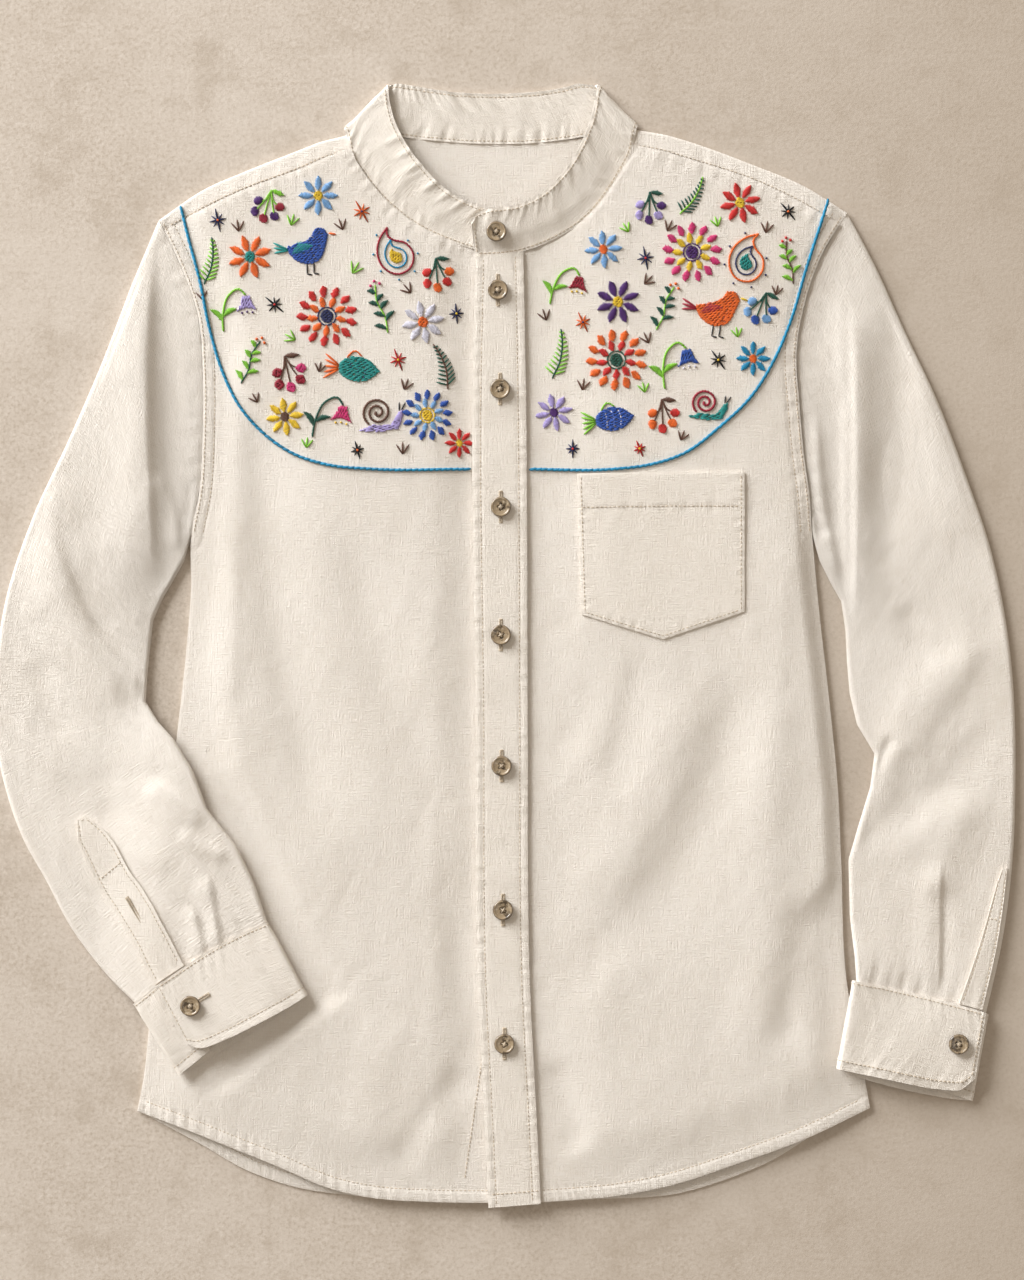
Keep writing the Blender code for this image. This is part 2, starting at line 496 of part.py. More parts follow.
def strip_wall(name, strips, thickness, material, across=3, rest=None):
    """Wall of even thickness through strips, each a line from the seam to the free edge."""
    rows = np.array(strips, float)
    seam, edge = rows[:, :3].copy(), rows[:, 3:].copy()
    if rest is not None:
        seam[:, 2] += rest(seam[:, 0], seam[:, 1])
        edge[:, 2] += rest(edge[:, 0], edge[:, 1])
    shares = np.linspace(0.0, 1.0, across + 1)[None, :, None]
    middle = seam[:, None] * (1 - shares) + edge[:, None] * shares
    if rest is not None:
        bottom = rest(middle[..., 0], middle[..., 1])
        straight = rest(seam[:, 0], seam[:, 1])[:, None] * (1 - shares[..., 0])
        straight = straight + rest(edge[:, 0], edge[:, 1])[:, None] * shares[..., 0]
        middle[..., 2] += np.maximum(bottom - straight, 0.0)
    forward = np.zeros_like(middle)
    step = np.diff(middle, axis=0)
    step = step / np.maximum(np.linalg.norm(step, axis=-1, keepdims=True), 1e-9)
    forward[1:-1] = step[:-1] + step[1:]
    forward[0], forward[-1] = step[0], step[-1]
    outward = np.cross(edge - seam, forward.transpose(1, 0, 2)).transpose(1, 0, 2)
    outward = outward / np.linalg.norm(outward, axis=-1, keepdims=True)
    half = thickness / 2
    return shell(name, middle + outward * half, middle - outward * half, material)


def build_band(material):
    """Collar band: a ring pressed flat, whose left end lies over its right end."""
    strips = list(BAND_FRONT_LEFT)
    strips += fold_over(BAND_FRONT_LEFT[-1], BAND_FOLD_LEFT, BAND_BACK[0], 1.6)
    strips += BAND_BACK
    strips += fold_over(BAND_BACK[-1], BAND_FOLD_RIGHT, BAND_FRONT_RIGHT[0], 1.6)
    strips += BAND_FRONT_RIGHT
    strip_wall("collar_band", strips, DOUBLE, material)


def build_cuff(name, upper, fold, under, turn, end, rest, material):
    """Cuff: over end, upper layer, fold, under layer, fold, and the under end between the two."""
    strips = list(upper) + fold_over(upper[-1], fold, under[0], 1.6) + list(under)
    strips += fold_over(under[-1], turn, end[0], 1.4) + list(end)
    strip_wall(name, strips, DOUBLE, material, rest=rest)


def sleeve_plan(rings, armhole, cuff, across, along):
    """Plan points of a sleeve at shares across its width and along its length."""
    table = np.array(rings, float)
    outer = spline(table[:, :2], along)
    chord = np.concatenate([[0.0], np.cumsum(np.linalg.norm(np.diff(table[:, :2], axis=0), axis=1))])
    keys = chord / chord[-1]
    inner = np.column_stack([np.interp(along, keys, table[:, 2]), np.interp(along, keys, table[:, 3])])
    height = np.interp(along, keys, table[:, 4])
    plan = outer[:, None] * (1 - across[None, :, None]) + inner[:, None] * across[None, :, None]
    start = spline(armhole, across) - (table[0, :2] * (1 - across[:, None]) + table[0, 2:4] * across[:, None])
    finish = spline(cuff, across) - (table[-1, :2] * (1 - across[:, None]) + table[-1, 2:4] * across[:, None])
    fade = (1 - along[:, None, None]) ** 5
    plan = plan + start[None] * fade + finish[None] * along[:, None, None] ** 8
    return plan, height


def sleeve_surface(rings, armhole, cuff, rest, folds, across, along):
    """Plan, underside and top of a sleeve's flattened tube at shares across and along it."""
    plan, height = sleeve_plan(rings, armhole, cuff, across, along)
    x, y = plan[..., 0], plan[..., 1]
    low = rest(x, y)
    width = np.linalg.norm(plan[:, -1] - plan[:, 0], axis=1)[:, None]
    inset = np.minimum(across[None], 1 - across[None]) * width
    near = np.exp(-(inset / EDGE_WIDTH) ** 2)
    settle = smooth_step(along / 0.06)[:, None]
    crown = height[:, None] + fold_height(x, y, folds) * (1 - near) * settle
    top = low + np.maximum(crown, 2 * CLOTH + 0.5)
    return plan, low, top


def sleeve_shares(rings):
    """Shares across a sleeve of its upper grid, which stops short of the rounded edges."""
    table = np.array(rings, float)
    margin = TUBE_ROUND / np.linalg.norm(table[:, 2:4] - table[:, :2], axis=1).min()
    return np.linspace(margin, 1 - margin, SLEEVE_UPPER_STEPS + 1)


def build_sleeve(name, rings, armhole, cuff, rest, folds, material):
    """Sleeve: a flattened tube with rounded edges, from the armhole to the cuff."""
    along = np.linspace(0.0, 1.0, SLEEVE_RINGS + 1)
    upper_shares = sleeve_shares(rings)
    under_shares = np.linspace(upper_shares[-1], upper_shares[0], SLEEVE_UNDER_STEPS + 1)
    loops = {}
    for label, wall in (("outer", 0.0), ("inner", CLOTH)):
        columns = []
        plan, low, top = sleeve_surface(rings, armhole, cuff, rest, folds, under_shares, along)
        columns += list(with_height(plan, low + wall).transpose(1, 0, 2))
        for end, order in ((0, (-40.0, 0.0, 40.0)), (-1, (40.0, 0.0, -40.0))):
            if end == -1:
                plan, low, top = sleeve_surface(rings, armhole, cuff, rest, folds, upper_shares, along)
                columns += list(with_height(plan, top - wall).transpose(1, 0, 2))
            edge_share = upper_shares[[0]] if end == 0 else upper_shares[[-1]]
            rim_share = np.array([0.0]) if end == 0 else np.array([1.0])
            near_plan, near_low, near_top = sleeve_surface(rings, armhole, cuff, rest, folds, edge_share, along)
            rim_plan = sleeve_plan(rings, armhole, cuff, rim_share, along)[0]
            outward = rim_plan[:, 0] - near_plan[:, 0]
            reach = np.linalg.norm(outward, axis=1, keepdims=True)
            outward = outward / reach
            middle = (near_low + near_top)[:, 0] / 2
            half = (near_top - near_low)[:, 0] / 2 - wall
            for angle in order:
                cosine, sine = math.cos(math.radians(angle)), math.sin(math.radians(angle))
                columns.append(with_height(near_plan[:, 0] + outward * (reach - wall) * cosine,
                                           middle + half * sine))
        loops[label] = np.array(columns).transpose(1, 0, 2)
    shell(name, loops["outer"], loops["inner"], material, around=True)


def build_sleeve_patch(name, rings, armhole, cuff, rest, folds, rows, material):
    """Piece sewn on a sleeve: points of the sleeve's own upper layer between two lines, moved out."""
    table = np.array(rows, float)
    ring_shares = np.linspace(0.0, 1.0, SLEEVE_RINGS + 1)
    column_shares = sleeve_shares(rings)
    plan, _, top = sleeve_surface(rings, armhole, cuff, rest, folds, column_shares, ring_shares)
    surface = with_height(plan, top)
    within = ring_shares[(ring_shares > table[0, 0] + 0.01) & (ring_shares < table[-1, 0] - 0.01)]
    lines = []
    for length in np.concatenate([table[:1, 0], within, table[-1:, 0]]):
        left = np.interp(length, table[:, 0], table[:, 1])
        right = np.interp(length, table[:, 0], table[:, 2])
        before = min(int(length * SLEEVE_RINGS + 1e-6), SLEEVE_RINGS - 1)
        blend = length * SLEEVE_RINGS - before
        ring = surface[before] * (1 - blend) + surface[before + 1] * blend
        lines.append([[np.interp(share, column_shares, ring[:, axis]) for axis in range(3)]
                      for share in np.linspace(left, right, 6)])
    under = np.array(lines) + np.array([0.0, 0.0, SLEEVE_LAY_GAP])
    shell(name, under + np.array([0.0, 0.0, PATCH]), under, material)


def build_placket(material):
    """Front placket, over the right front's button stand and the left front's edge."""
    shares = np.linspace(0.0, 1.0, 37)
    left, right = spline(PLACKET_LEFT, shares), spline(PLACKET_RIGHT, shares)
    across = np.linspace(0.0, 1.0, 5)[None, :, None]
    plan = left[:, None] * (1 - across) + right[:, None] * across
    laid("placket", plan, placket_lift(plan[..., 0], plan[..., 1]), DOUBLE, material)


def placket_lift(x, y):
    """Underside of the placket."""
    return front_lift(x, y) + CLOTH + LAY_GAP


def build_pocket(material):
    """Patch pocket with a pointed lower edge, on the left front."""
    shares = np.linspace(0.0, 1.0, 9)
    top = np.concatenate([spline(POCKET_TOP[:2], shares[::2])[:-1], spline(POCKET_TOP[1:], shares[::2])])
    bottom = np.concatenate([spline(POCKET_BOTTOM[:2], shares[::2])[:-1],
                             spline(POCKET_BOTTOM[1:], shares[::2])])
    rows = np.linspace(0.0, 1.0, 9)[:, None, None]
    plan = bottom[None] * (1 - rows) + top[None] * rows
    x, y = plan[..., 0], plan[..., 1]
    laid("pocket", plan, front_lift(x, y) + CLOTH + LAY_GAP, PATCH, material)


SQUARE = np.array([[1, 0], [0, 1], [-1, 0], [0, -1]], float)


def button_mesh(name, material):
    """Button with a raised rim and four holes: a filled outline with holes, given its height."""
    sides = 14
    angles = np.linspace(0.0, 2 * math.pi, sides, endpoint=False)
    circle = np.column_stack([np.cos(angles), np.sin(angles)])
    radius = BUTTON_WIDTH / 2
    holes = []
    for corner_x in (-1, 1):
        for corner_y in (-1, 1):
            centre = np.array([corner_x, corner_y]) * BUTTON_HOLE_PITCH / 2
            holes.append(SQUARE * BUTTON_HOLE / 2 + centre)
    work = bmesh.new()

    def ring(points, z):
        return [work.verts.new((x * MM, y * MM, z * MM)) for x, y in points]

    def bridge(low, high):
        for index in range(len(low)):
            after = (index + 1) % len(low)
            work.faces.new([low[index], low[after], high[after], high[index]])

    def fill(loops):
        edges = []
        for loop in loops:
            for index in range(len(loop)):
                pair = (loop[index], loop[(index + 1) % len(loop)])
                edges.append(work.edges.get(pair) or work.edges.new(pair))
        bmesh.ops.triangle_fill(work, use_beauty=True, use_dissolve=False, edges=edges)

    low_rim = ring(circle * (radius - 0.8), 0.0)
    side_high = ring(circle * radius, BUTTON_HEIGHT - 0.5)
    top_rim = ring(circle * (radius - 1.0), BUTTON_HEIGHT)
    dish = ring(circle * (radius - 2.2), BUTTON_HEIGHT - 0.9)
    low_holes = [ring(hole, 0.0) for hole in holes]
    high_holes = [ring(hole, BUTTON_HEIGHT - 0.9) for hole in holes]
    for low, high in ((low_rim, side_high), (side_high, top_rim), (top_rim, dish)):
        bridge(low, high)
    for low, high in zip(low_holes, high_holes):
        bridge(high, low)
    fill([low_rim] + low_holes)
    fill([dish] + high_holes)
    bmesh.ops.recalc_face_normals(work, faces=work.faces)
    mesh = bpy.data.meshes.new(name)
    work.to_mesh(mesh)
    work.free()
    mesh.shade_smooth()
    mesh.set_sharp_from_angle(angle=math.radians(35))
    mesh.materials.append(material)
    return mesh


def place_button(name, mesh, spot, height, tilt_x=0.0, tilt_y=0.0):
    """One button on the cloth, tilted by the cloth's slopes."""
    button = bpy.data.objects.new(name, mesh)
    button.location = (spot.x * MM, spot.y * MM, height * MM)
    button.rotation_euler = (math.atan(tilt_y), -math.atan(tilt_x), 0.0)
    bpy.context.scene.collection.objects.link(button)


def build_buttons(material):
    """Seven buttons down the placket, one on the collar band and one on each cuff."""
    mesh = button_mesh("button", material)
    for number, spot in enumerate(FRONT_BUTTONS, start=1):
        reach = BUTTON_WIDTH / 2
        spots_x = np.array([spot.x, spot.x - reach, spot.x + reach, spot.x, spot.x])
        spots_y = np.array([spot.y, spot.y, spot.y, spot.y - reach, spot.y + reach])
        lift = placket_lift(spots_x, spots_y)
        tilt_x = (lift[2] - lift[1]) / BUTTON_WIDTH
        tilt_y = (lift[4] - lift[3]) / BUTTON_WIDTH
        seat = max(lift[0], (lift[1] + lift[2]) / 2, (lift[3] + lift[4]) / 2)
        place_button(f"button_front_{number}", mesh, spot, seat + DOUBLE + HOLD_GAP, tilt_x, tilt_y)
    place_button("button_collar", mesh, COLLAR_BUTTON, 10.9, 0.0, 0.07)
    place_button("button_cuff_right", mesh, CUFF_BUTTON_RIGHT, 15.8)
    place_button("button_cuff_left", mesh, CUFF_BUTTON_LEFT, 9.3)


def main():
    """Clear the scene and build every piece."""
    for existing in list(bpy.data.objects):
        bpy.data.objects.remove(existing, do_unlink=True)
    cotton = cloth_material("cotton", COTTON)
    double = cloth_material("cotton_double", COTTON_DOUBLE)
    horn = cloth_material("horn", HORN, 0.35)
    build_back(cotton)
    build_yoke(cotton)
    build_fronts(cotton)
    build_placket(double)
    build_pocket(double)
    build_band(double)
    right_armhole = edge_points(RIGHT_EDGE, RIGHT_EDGE[-1].y, ARMPIT_Y, 14) + np.array([-ARMHOLE_GAP, 0.0])
    left_armhole = edge_points(LEFT_EDGE, LEFT_EDGE[-1].y, ARMPIT_Y + 2, 14) + np.array([ARMHOLE_GAP, 0.0])
    right = (SLEEVE_RIGHT, right_armhole, CUFF_SEAM_RIGHT, under_right_sleeve, SLEEVE_RIGHT_FOLDS)
    left = (SLEEVE_LEFT, left_armhole, CUFF_SEAM_LEFT, under_left_sleeve, SLEEVE_LEFT_FOLDS)
    build_sleeve("sleeve_right", *right, cotton)
    build_sleeve("sleeve_left", *left, cotton)
    build_sleeve_patch("sleeve_placket_right", *right, SLEEVE_PLACKET_RIGHT, double)
    build_sleeve_patch("sleeve_placket_left", *left, SLEEVE_PLACKET_LEFT, double)
    build_cuff("cuff_right", CUFF_RIGHT_UPPER, CUFF_RIGHT_FOLD, CUFF_RIGHT_UNDER, CUFF_RIGHT_TURN,
               CUFF_RIGHT_END, under_right_sleeve, double)
    build_cuff("cuff_left", CUFF_LEFT_UPPER, CUFF_LEFT_FOLD, CUFF_LEFT_UNDER, CUFF_LEFT_TURN,
               CUFF_LEFT_END, under_left_sleeve, double)
    build_buttons(horn)


if __name__ == "__main__":
    main()
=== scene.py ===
"""Looks of a long-sleeved cotton shirt with a band collar and embroidered fronts, laid flat on its back.

Tables and sizes are in millimetres and repeat the solids' outlines; finished meshes are in metres. +Z is
up, +Y runs from the hem to the collar, +X is the wearer's left, and the origin is on the surface under
the middle of the shirt. Each cloth piece is a thin closed wall on its solid's form, with its creases,
seams and puckers worked out as heights over the plan.
"""
import logging
import math
from dataclasses import dataclass, field
from enum import Enum
from typing import Callable, NamedTuple, Optional, Sequence

import bpy
import numpy as np
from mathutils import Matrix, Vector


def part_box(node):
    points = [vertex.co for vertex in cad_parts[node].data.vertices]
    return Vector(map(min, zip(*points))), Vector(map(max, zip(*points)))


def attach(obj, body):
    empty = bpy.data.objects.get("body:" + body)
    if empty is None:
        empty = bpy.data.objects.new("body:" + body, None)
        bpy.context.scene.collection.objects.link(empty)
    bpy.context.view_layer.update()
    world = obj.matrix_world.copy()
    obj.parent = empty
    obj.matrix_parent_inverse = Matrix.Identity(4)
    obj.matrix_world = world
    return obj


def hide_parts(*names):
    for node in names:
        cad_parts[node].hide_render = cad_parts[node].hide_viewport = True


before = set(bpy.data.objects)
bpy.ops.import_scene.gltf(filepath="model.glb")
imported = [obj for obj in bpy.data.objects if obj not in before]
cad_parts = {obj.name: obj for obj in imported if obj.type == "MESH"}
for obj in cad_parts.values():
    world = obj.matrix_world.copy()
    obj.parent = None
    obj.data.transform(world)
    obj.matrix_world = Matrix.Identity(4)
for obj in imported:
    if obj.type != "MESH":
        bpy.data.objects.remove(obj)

LOG = logging.getLogger("shirt")
Array = np.ndarray
UP = np.array([0.0, 0.0, 1.0])

MM = 0.001
CLOTH = 1.3            # wall of a single panel
DOUBLE = 2.2           # wall of the collar band, cuffs and placket
PATCH = 1.1            # wall of a piece sewn flat on a panel
SEAM_GAP = 0.15        # between two pieces that are sewn edge to edge
ARMHOLE_GAP = 0.25     # the same along the curved armhole seams
LAY_GAP = 0.45         # between a piece and the panel it lies on
FRONT_LIFT = 4.0       # underside of the fronts above the surface, away from their edges
SIDE_LIFT = 1.65       # underside of the fronts at the side seams
SEAM_DIP = 1.0         # how far a panel sinks along the armhole seam
EDGE_WIDTH = 22.0      # width over which a panel rises from its edge
TUBE_ROUND = 2.7       # radius of a sleeve's folded edge, in plan
NECK_TUCK = 4.0        # how far the fronts reach under the collar band at the shoulder
RAMP = 56.0            # width over which a sleeve climbs onto the front
RAMP_START = 48.0      # where that climb starts, outside the side seam
FOREARM_LIFT = 6.4     # underside of the right forearm where it lies on the front
CUFF_LIFT = 5.2        # underside of the left cuff where it lies on the front's edge
HEM_DEPTH = 8.3        # from the hem's edge to its stitching
FELLED_WIDTH = 8.0     # from the armhole seam to its second row of stitching
FELLED_INSET = 1.8     # from the armhole seam to its first row of stitching
EDGE_REACH = 17.0      # depth of the finer rows of points along the hem and the top of a panel
FRONT_LENGTH = 650.0   # length that the rows of a front are shared out over
FOLD_FADE = 0.22       # share of a fold's length over which each end fades out
BELL_REACH = 3.0       # widths of a fold beyond which it is nothing
FOLD_ROUND = 1.6       # radius of a band's folded end
TURN_ROUND = 1.4       # radius of a cuff's inner fold
ALL_SMOOTH = 180.0     # angle limit that leaves every edge of a mesh smooth, degrees
IMAGE_WIDTH, IMAGE_HEIGHT = 1024, 1280


class Point(NamedTuple):
    """A point of the plan, millimetres."""

    x: float
    y: float


class Fold(NamedTuple):
    """A soft crease: a line through three points, its rise there, and its reach to the left and right."""

    x0: float
    y0: float
    x1: float
    y1: float
    x2: float
    y2: float
    rise: float
    left: float
    right: float


class Strip(NamedTuple):
    """One line across a band or cuff, from its seam to its free edge."""

    seam_x: float
    seam_y: float
    seam_z: float
    edge_x: float
    edge_y: float
    edge_z: float


class Ring(NamedTuple):
    """One line across a flattened sleeve, from its outer to its inner edge, and the tube's height."""

    outer_x: float
    outer_y: float
    inner_x: float
    inner_y: float
    height: float


class Opening(NamedTuple):
    """One line of a sleeve placket, in shares of the sleeve's length and of its width."""

    length: float
    left: float
    right: float


class Side(Enum):
    """The wearer's side that a piece is on."""

    RIGHT = "right"
    LEFT = "left"


class Colour(Enum):
    """Embroidery cotton, linear colours."""

    BLACK = (0.012, 0.012, 0.016)
    NAVY = (0.018, 0.024, 0.105)
    ORANGE = (0.830, 0.145, 0.012)
    TURQUOISE = (0.006, 0.255, 0.470)
    CRIMSON = (0.330, 0.008, 0.030)
    RED = (0.620, 0.022, 0.018)
    LIME = (0.230, 0.560, 0.035)
    FOREST = (0.008, 0.085, 0.055)
    BROWN = (0.125, 0.052, 0.030)
    YELLOW = (0.830, 0.560, 0.025)
    PURPLE = (0.072, 0.012, 0.150)
    LILAC = (0.430, 0.350, 0.680)
    PINK = (0.640, 0.035, 0.180)
    SKY = (0.200, 0.400, 0.700)
    ROYAL = (0.022, 0.085, 0.400)
    TEAL = (0.008, 0.270, 0.250)
    PALE = (0.700, 0.680, 0.780)
    # Sewing thread: its own warm cream, darkened further with painted shade of the needle holes so the rows
    # read as dark dashes.
    SEWING = (0.680, 0.560, 0.420)


class Kind(Enum):
    """The motifs of the embroidery."""

    DAISY = "daisy"
    ZINNIA = "zinnia"
    BELL = "bell"
    SPRIG = "sprig"
    FERN = "fern"
    STAR = "star"
    BERRIES = "berries"
    PAISLEY = "paisley"
    BIRD = "bird"
    FISH = "fish"
    SNAIL = "snail"
    SPROUT = "sprout"


class Motif(NamedTuple):
    """One motif: where its middle is, how large it is, how far it is turned, and its threads."""

    kind: Kind
    x: float
    y: float
    size: float
    turn: float
    first: Colour
    second: Colour
    third: Colour


def table(kind: type, *rows) -> list:
    """Rows of numbers as named tuples."""
    return [kind(*row) for row in rows]


def motifs(rows: Sequence[tuple], sprouts: Sequence[tuple]) -> list:
    """Motifs whose threads are named in one string, and then the sprouts, of one thread each."""
    made = [Motif(Kind(kind), *place, *(Colour[name.upper()] for name in threads.split()))
            for kind, *place, threads in rows]
    return made + [Motif(Kind.SPROUT, *place, *[Colour[name.upper()]] * 3) for *place, name in sprouts]


ARMPIT_Y = 74
BACK_YOKE_Y = 250
RIGHT_EDGE = table(Point, (-253, -321), (-249, -300), (-245, -264), (-236, -165), (-226, -65), (-219, -1),
    (-216, 40), (-216, 74), (-210, 107), (-208, 142), (-208, 190), (-211, 226), (-223, 261), (-238, 293))
LEFT_EDGE = table(Point, (252, -319), (246, -287), (236, -233), (232, -148), (230, -103), (224, -40),
    (217, 22), (212, 76), (210, 102), (206, 132), (203, 166), (201, 201), (207, 237), (219, 270), (236, 298))
HEM_RIGHT = table(Point, (-253, -321), (-218, -334), (-188, -346), (-158, -358), (-117, -375), (-87, -381),
    (-56, -383), (12, -384))
HEM_LEFT = table(Point, (17, -384), (47, -382), (78, -379), (114, -372), (163, -356), (202, -342),
    (252, -319))
HEM_BACK = table(Point, (-253, -321), (-208, -345), (-178, -362), (-147, -373), (-101, -380), (0, -383),
    (66, -382), (120, -378), (154, -368), (183, -356), (221, -333), (252, -319))
HEM_LOW = table(Point, (-253, -313), (-188, -338), (-117, -366), (-56, -375), (47, -374), (114, -364),
    (163, -348), (252, -311))
FOREARM_REACH = [(-310, 40), (-290, 62), (-240, 120), (-190, 86), (-138, 60), (-86, 28), (-30, 14), (20, 12)]
STAND_EDGE = table(Point, (12, -384), (5, -245), (3, -38), (2, 160), (1, 268))
PLACKET_SEAM = table(Point, (17, -384), (10, -245), (8, -38), (7, 160), (8, 270))

SHOULDER_RIGHT = table(Point, (-238, 293), (-205, 315), (-182, 325), (-134, 344), (-111.5, 353))
SHOULDER_LEFT = table(Point, (93, 356.5), (124, 348), (171, 331), (207, 316), (236, 298))
YOKE_SEAM_RIGHT = table(Point, (-233, 286), (-182, 312), (-137, 329), (-110, 342))
YOKE_SEAM_LEFT = table(Point, (93, 344.5), (124, 335), (171, 320), (230, 290))
YOKE_OUT_RIGHT = (-0.40, 0.917)    # outward across the shoulder folds
YOKE_OUT_LEFT = (0.36, 0.933)
NECK_FRONT_RIGHT = table(Point, (-110, 342), (-101, 331), (-91, 317), (-75, 300), (-56, 287), (-38, 279),
    (-20, 273), (1, 268))
NECK_FRONT_LEFT = table(Point, (8, 270), (31, 278), (51, 290), (67, 306), (80, 326), (93, 344.5))
NECK_BACK = table(Point, (-111.5, 353), (-68, 349.5), (-16, 346), (31, 347), (93, 356.5))

BAND_FRONT_LEFT = table(Strip, (-20.5, 269.5, 8.4, -23, 291, 10.2), (-17, 269.4, 8.4, -19.5, 296, 10.3),
    (-7, 269.6, 8.3, -8, 300, 10.4), (6, 271, 7.8, 5, 301.5, 10.4), (20, 275, 7, 16, 305, 10),
    (36, 282, 6.2, 27, 311.5, 9.7), (50.3, 290.8, 5.8, 37, 321, 9.5), (62, 302, 5.6, 45, 331, 9.1),
    (71.5, 315, 5.4, 51, 341.5, 8.7), (79.6, 328, 5.2, 56.5, 354, 7.8), (86, 341, 5.1, 60.5, 366, 6.6),
    (88.4, 351, 5, 62.5, 378, 5.4))
BAND_BACK = table(Strip, (76, 356.2, 1.1, 52, 387, 1.1), (54, 351.9, 1.1, 40, 384.2, 1.1),
    (31, 348.6, 1.1, 16, 381, 1.1), (7, 346.9, 1.1, -9, 380, 1.1), (-16, 347, 1.1, -32, 381, 1.1),
    (-48, 349.2, 1.1, -54, 384, 1.1), (-70, 351.6, 1.1, -66, 386, 1.1), (-92, 354, 1.1, -74, 387, 1.1))
BAND_FRONT_RIGHT = table(Strip, (-107, 350, 5, -79.5, 378, 5.4), (-104, 337, 5.1, -76.5, 364, 6.6),
    (-95.8, 324.6, 5.2, -70.5, 350, 7.8), (-86.4, 312.4, 5.3, -63, 338, 8.7),
    (-74.6, 300.9, 5.4, -54, 327, 9.1), (-61.5, 291.4, 5.4, -43.5, 316, 9.1),
    (-47.5, 284, 5.3, -31, 307.5, 8.4), (-33, 278.2, 5.2, -18, 302, 7.5), (-18, 273.4, 5.1, -8, 298, 6.8),
    (-5, 270.6, 5, 2, 296, 6.6))
BAND_FOLD_LEFT = Strip(90.2, 358.6, 3.0, 63.5, 385.5, 3.1)
BAND_FOLD_RIGHT = Strip(-108.6, 356.0, 3.0, -80.0, 385.5, 3.1)

SLEEVE_RIGHT = table(Ring, (-238, 293, -216, 74, 4.3), (-255, 252, -221, 57, 4.6), (-277, 195, -229, 43, 4.8),
    (-300, 142, -236, 31, 4.8), (-325, 88, -242, 17, 4.8), (-344, 30, -244, 0, 4.7),
    (-351, -22, -246, -20, 4.5), (-351, -62, -247, -39, 4.6), (-343, -102, -238, -53, 5),
    (-332, -133, -227, -65, 5.2), (-316, -162, -214, -86, 5.2), (-299, -194, -204, -113, 5.2),
    (-284, -215, -184, -138, 5.2), (-269, -232, -172, -163, 5), (-254, -246, -163, -190, 5))
SLEEVE_LEFT = table(Ring, (236, 298, 212, 76, 4.3), (254, 264, 217, 58, 4.6), (277, 214, 225, 42, 4.8),
    (298, 169, 232, 30, 4.8), (319, 114, 235, 10, 4.8), (334, 70, 236, -12, 4.7), (345, 20, 238, -34, 4.6),
    (350, -20, 243, -55, 4.8), (352, -61, 255, -75, 5), (352, -100, 252, -98, 5), (351, -135, 244, -124, 5),
    (348, -170, 237, -148, 5), (343, -204, 238, -187, 5), (337, -232, 241, -214, 5),
    (332, -253, 242, -231, 5))
CUFF_SEAM_RIGHT = table(Point, (-254, -246), (-239, -234), (-221, -222), (-198, -207), (-163, -190))
CUFF_SEAM_LEFT = table(Point, (332, -253), (298, -244), (272, -238), (242, -231))

CUFF_RIGHT_UPPER = table(Strip, (-239, -235.4, 6.9, -219, -272, 8.3), (-233, -231.2, 6.9, -209, -276, 8.8),
    (-220.5, -222.8, 6.4, -190, -269.6, 9.2), (-207, -213.8, 5.6, -172, -261, 9),
    (-191, -204.6, 4.7, -155, -252.2, 7.6), (-175, -196.8, 4.2, -144, -246, 5.6))
CUFF_RIGHT_FOLD = Strip(-162.5, -191.5, 2.6, -136.0, -240.5, 2.8)
CUFF_RIGHT_UNDER = table(Strip, (-176, -197.4, 1.1, -146, -247, 1.1), (-198, -208.2, 1.1, -172, -265, 1.1),
    (-221, -223, 1.1, -198, -281, 1.1), (-239, -235.6, 1.1, -213, -290, 1.1))
CUFF_RIGHT_TURN = Strip(-254.0, -247.5, 2.4, -223.0, -295.0, 2.5)
CUFF_RIGHT_END = table(Strip, (-240, -236.6, 3.9, -213, -287, 4), (-228, -228.4, 3.9, -202, -278, 4.1))
CUFF_LEFT_UPPER = table(Strip, (331, -254.2, 6.9, 323.5, -298, 7.9), (323, -251.8, 6.9, 311, -306, 8.4),
    (309, -248, 6.5, 294, -304.6, 9), (294, -244, 5.8, 276, -301, 9.2), (278, -240.3, 5, 258, -297, 8.4),
    (260, -236, 4.3, 243, -294, 6.4))
CUFF_LEFT_FOLD = Strip(240.0, -231.9, 2.6, 229.0, -291.0, 2.8)
CUFF_LEFT_UNDER = table(Strip, (256, -235.3, 1.1, 245, -297.6, 1.1), (276, -239.9, 1.1, 266, -304, 1.1),
    (297, -244.9, 1.1, 292, -310, 1.1), (317, -250.2, 1.1, 310, -313, 1.1))
CUFF_LEFT_TURN = Strip(332.5, -255.5, 2.4, 322.0, -314.0, 2.5)
CUFF_LEFT_END = table(Strip, (319, -252, 3.9, 311, -310, 4), (306, -248, 3.9, 299, -307, 4.1))

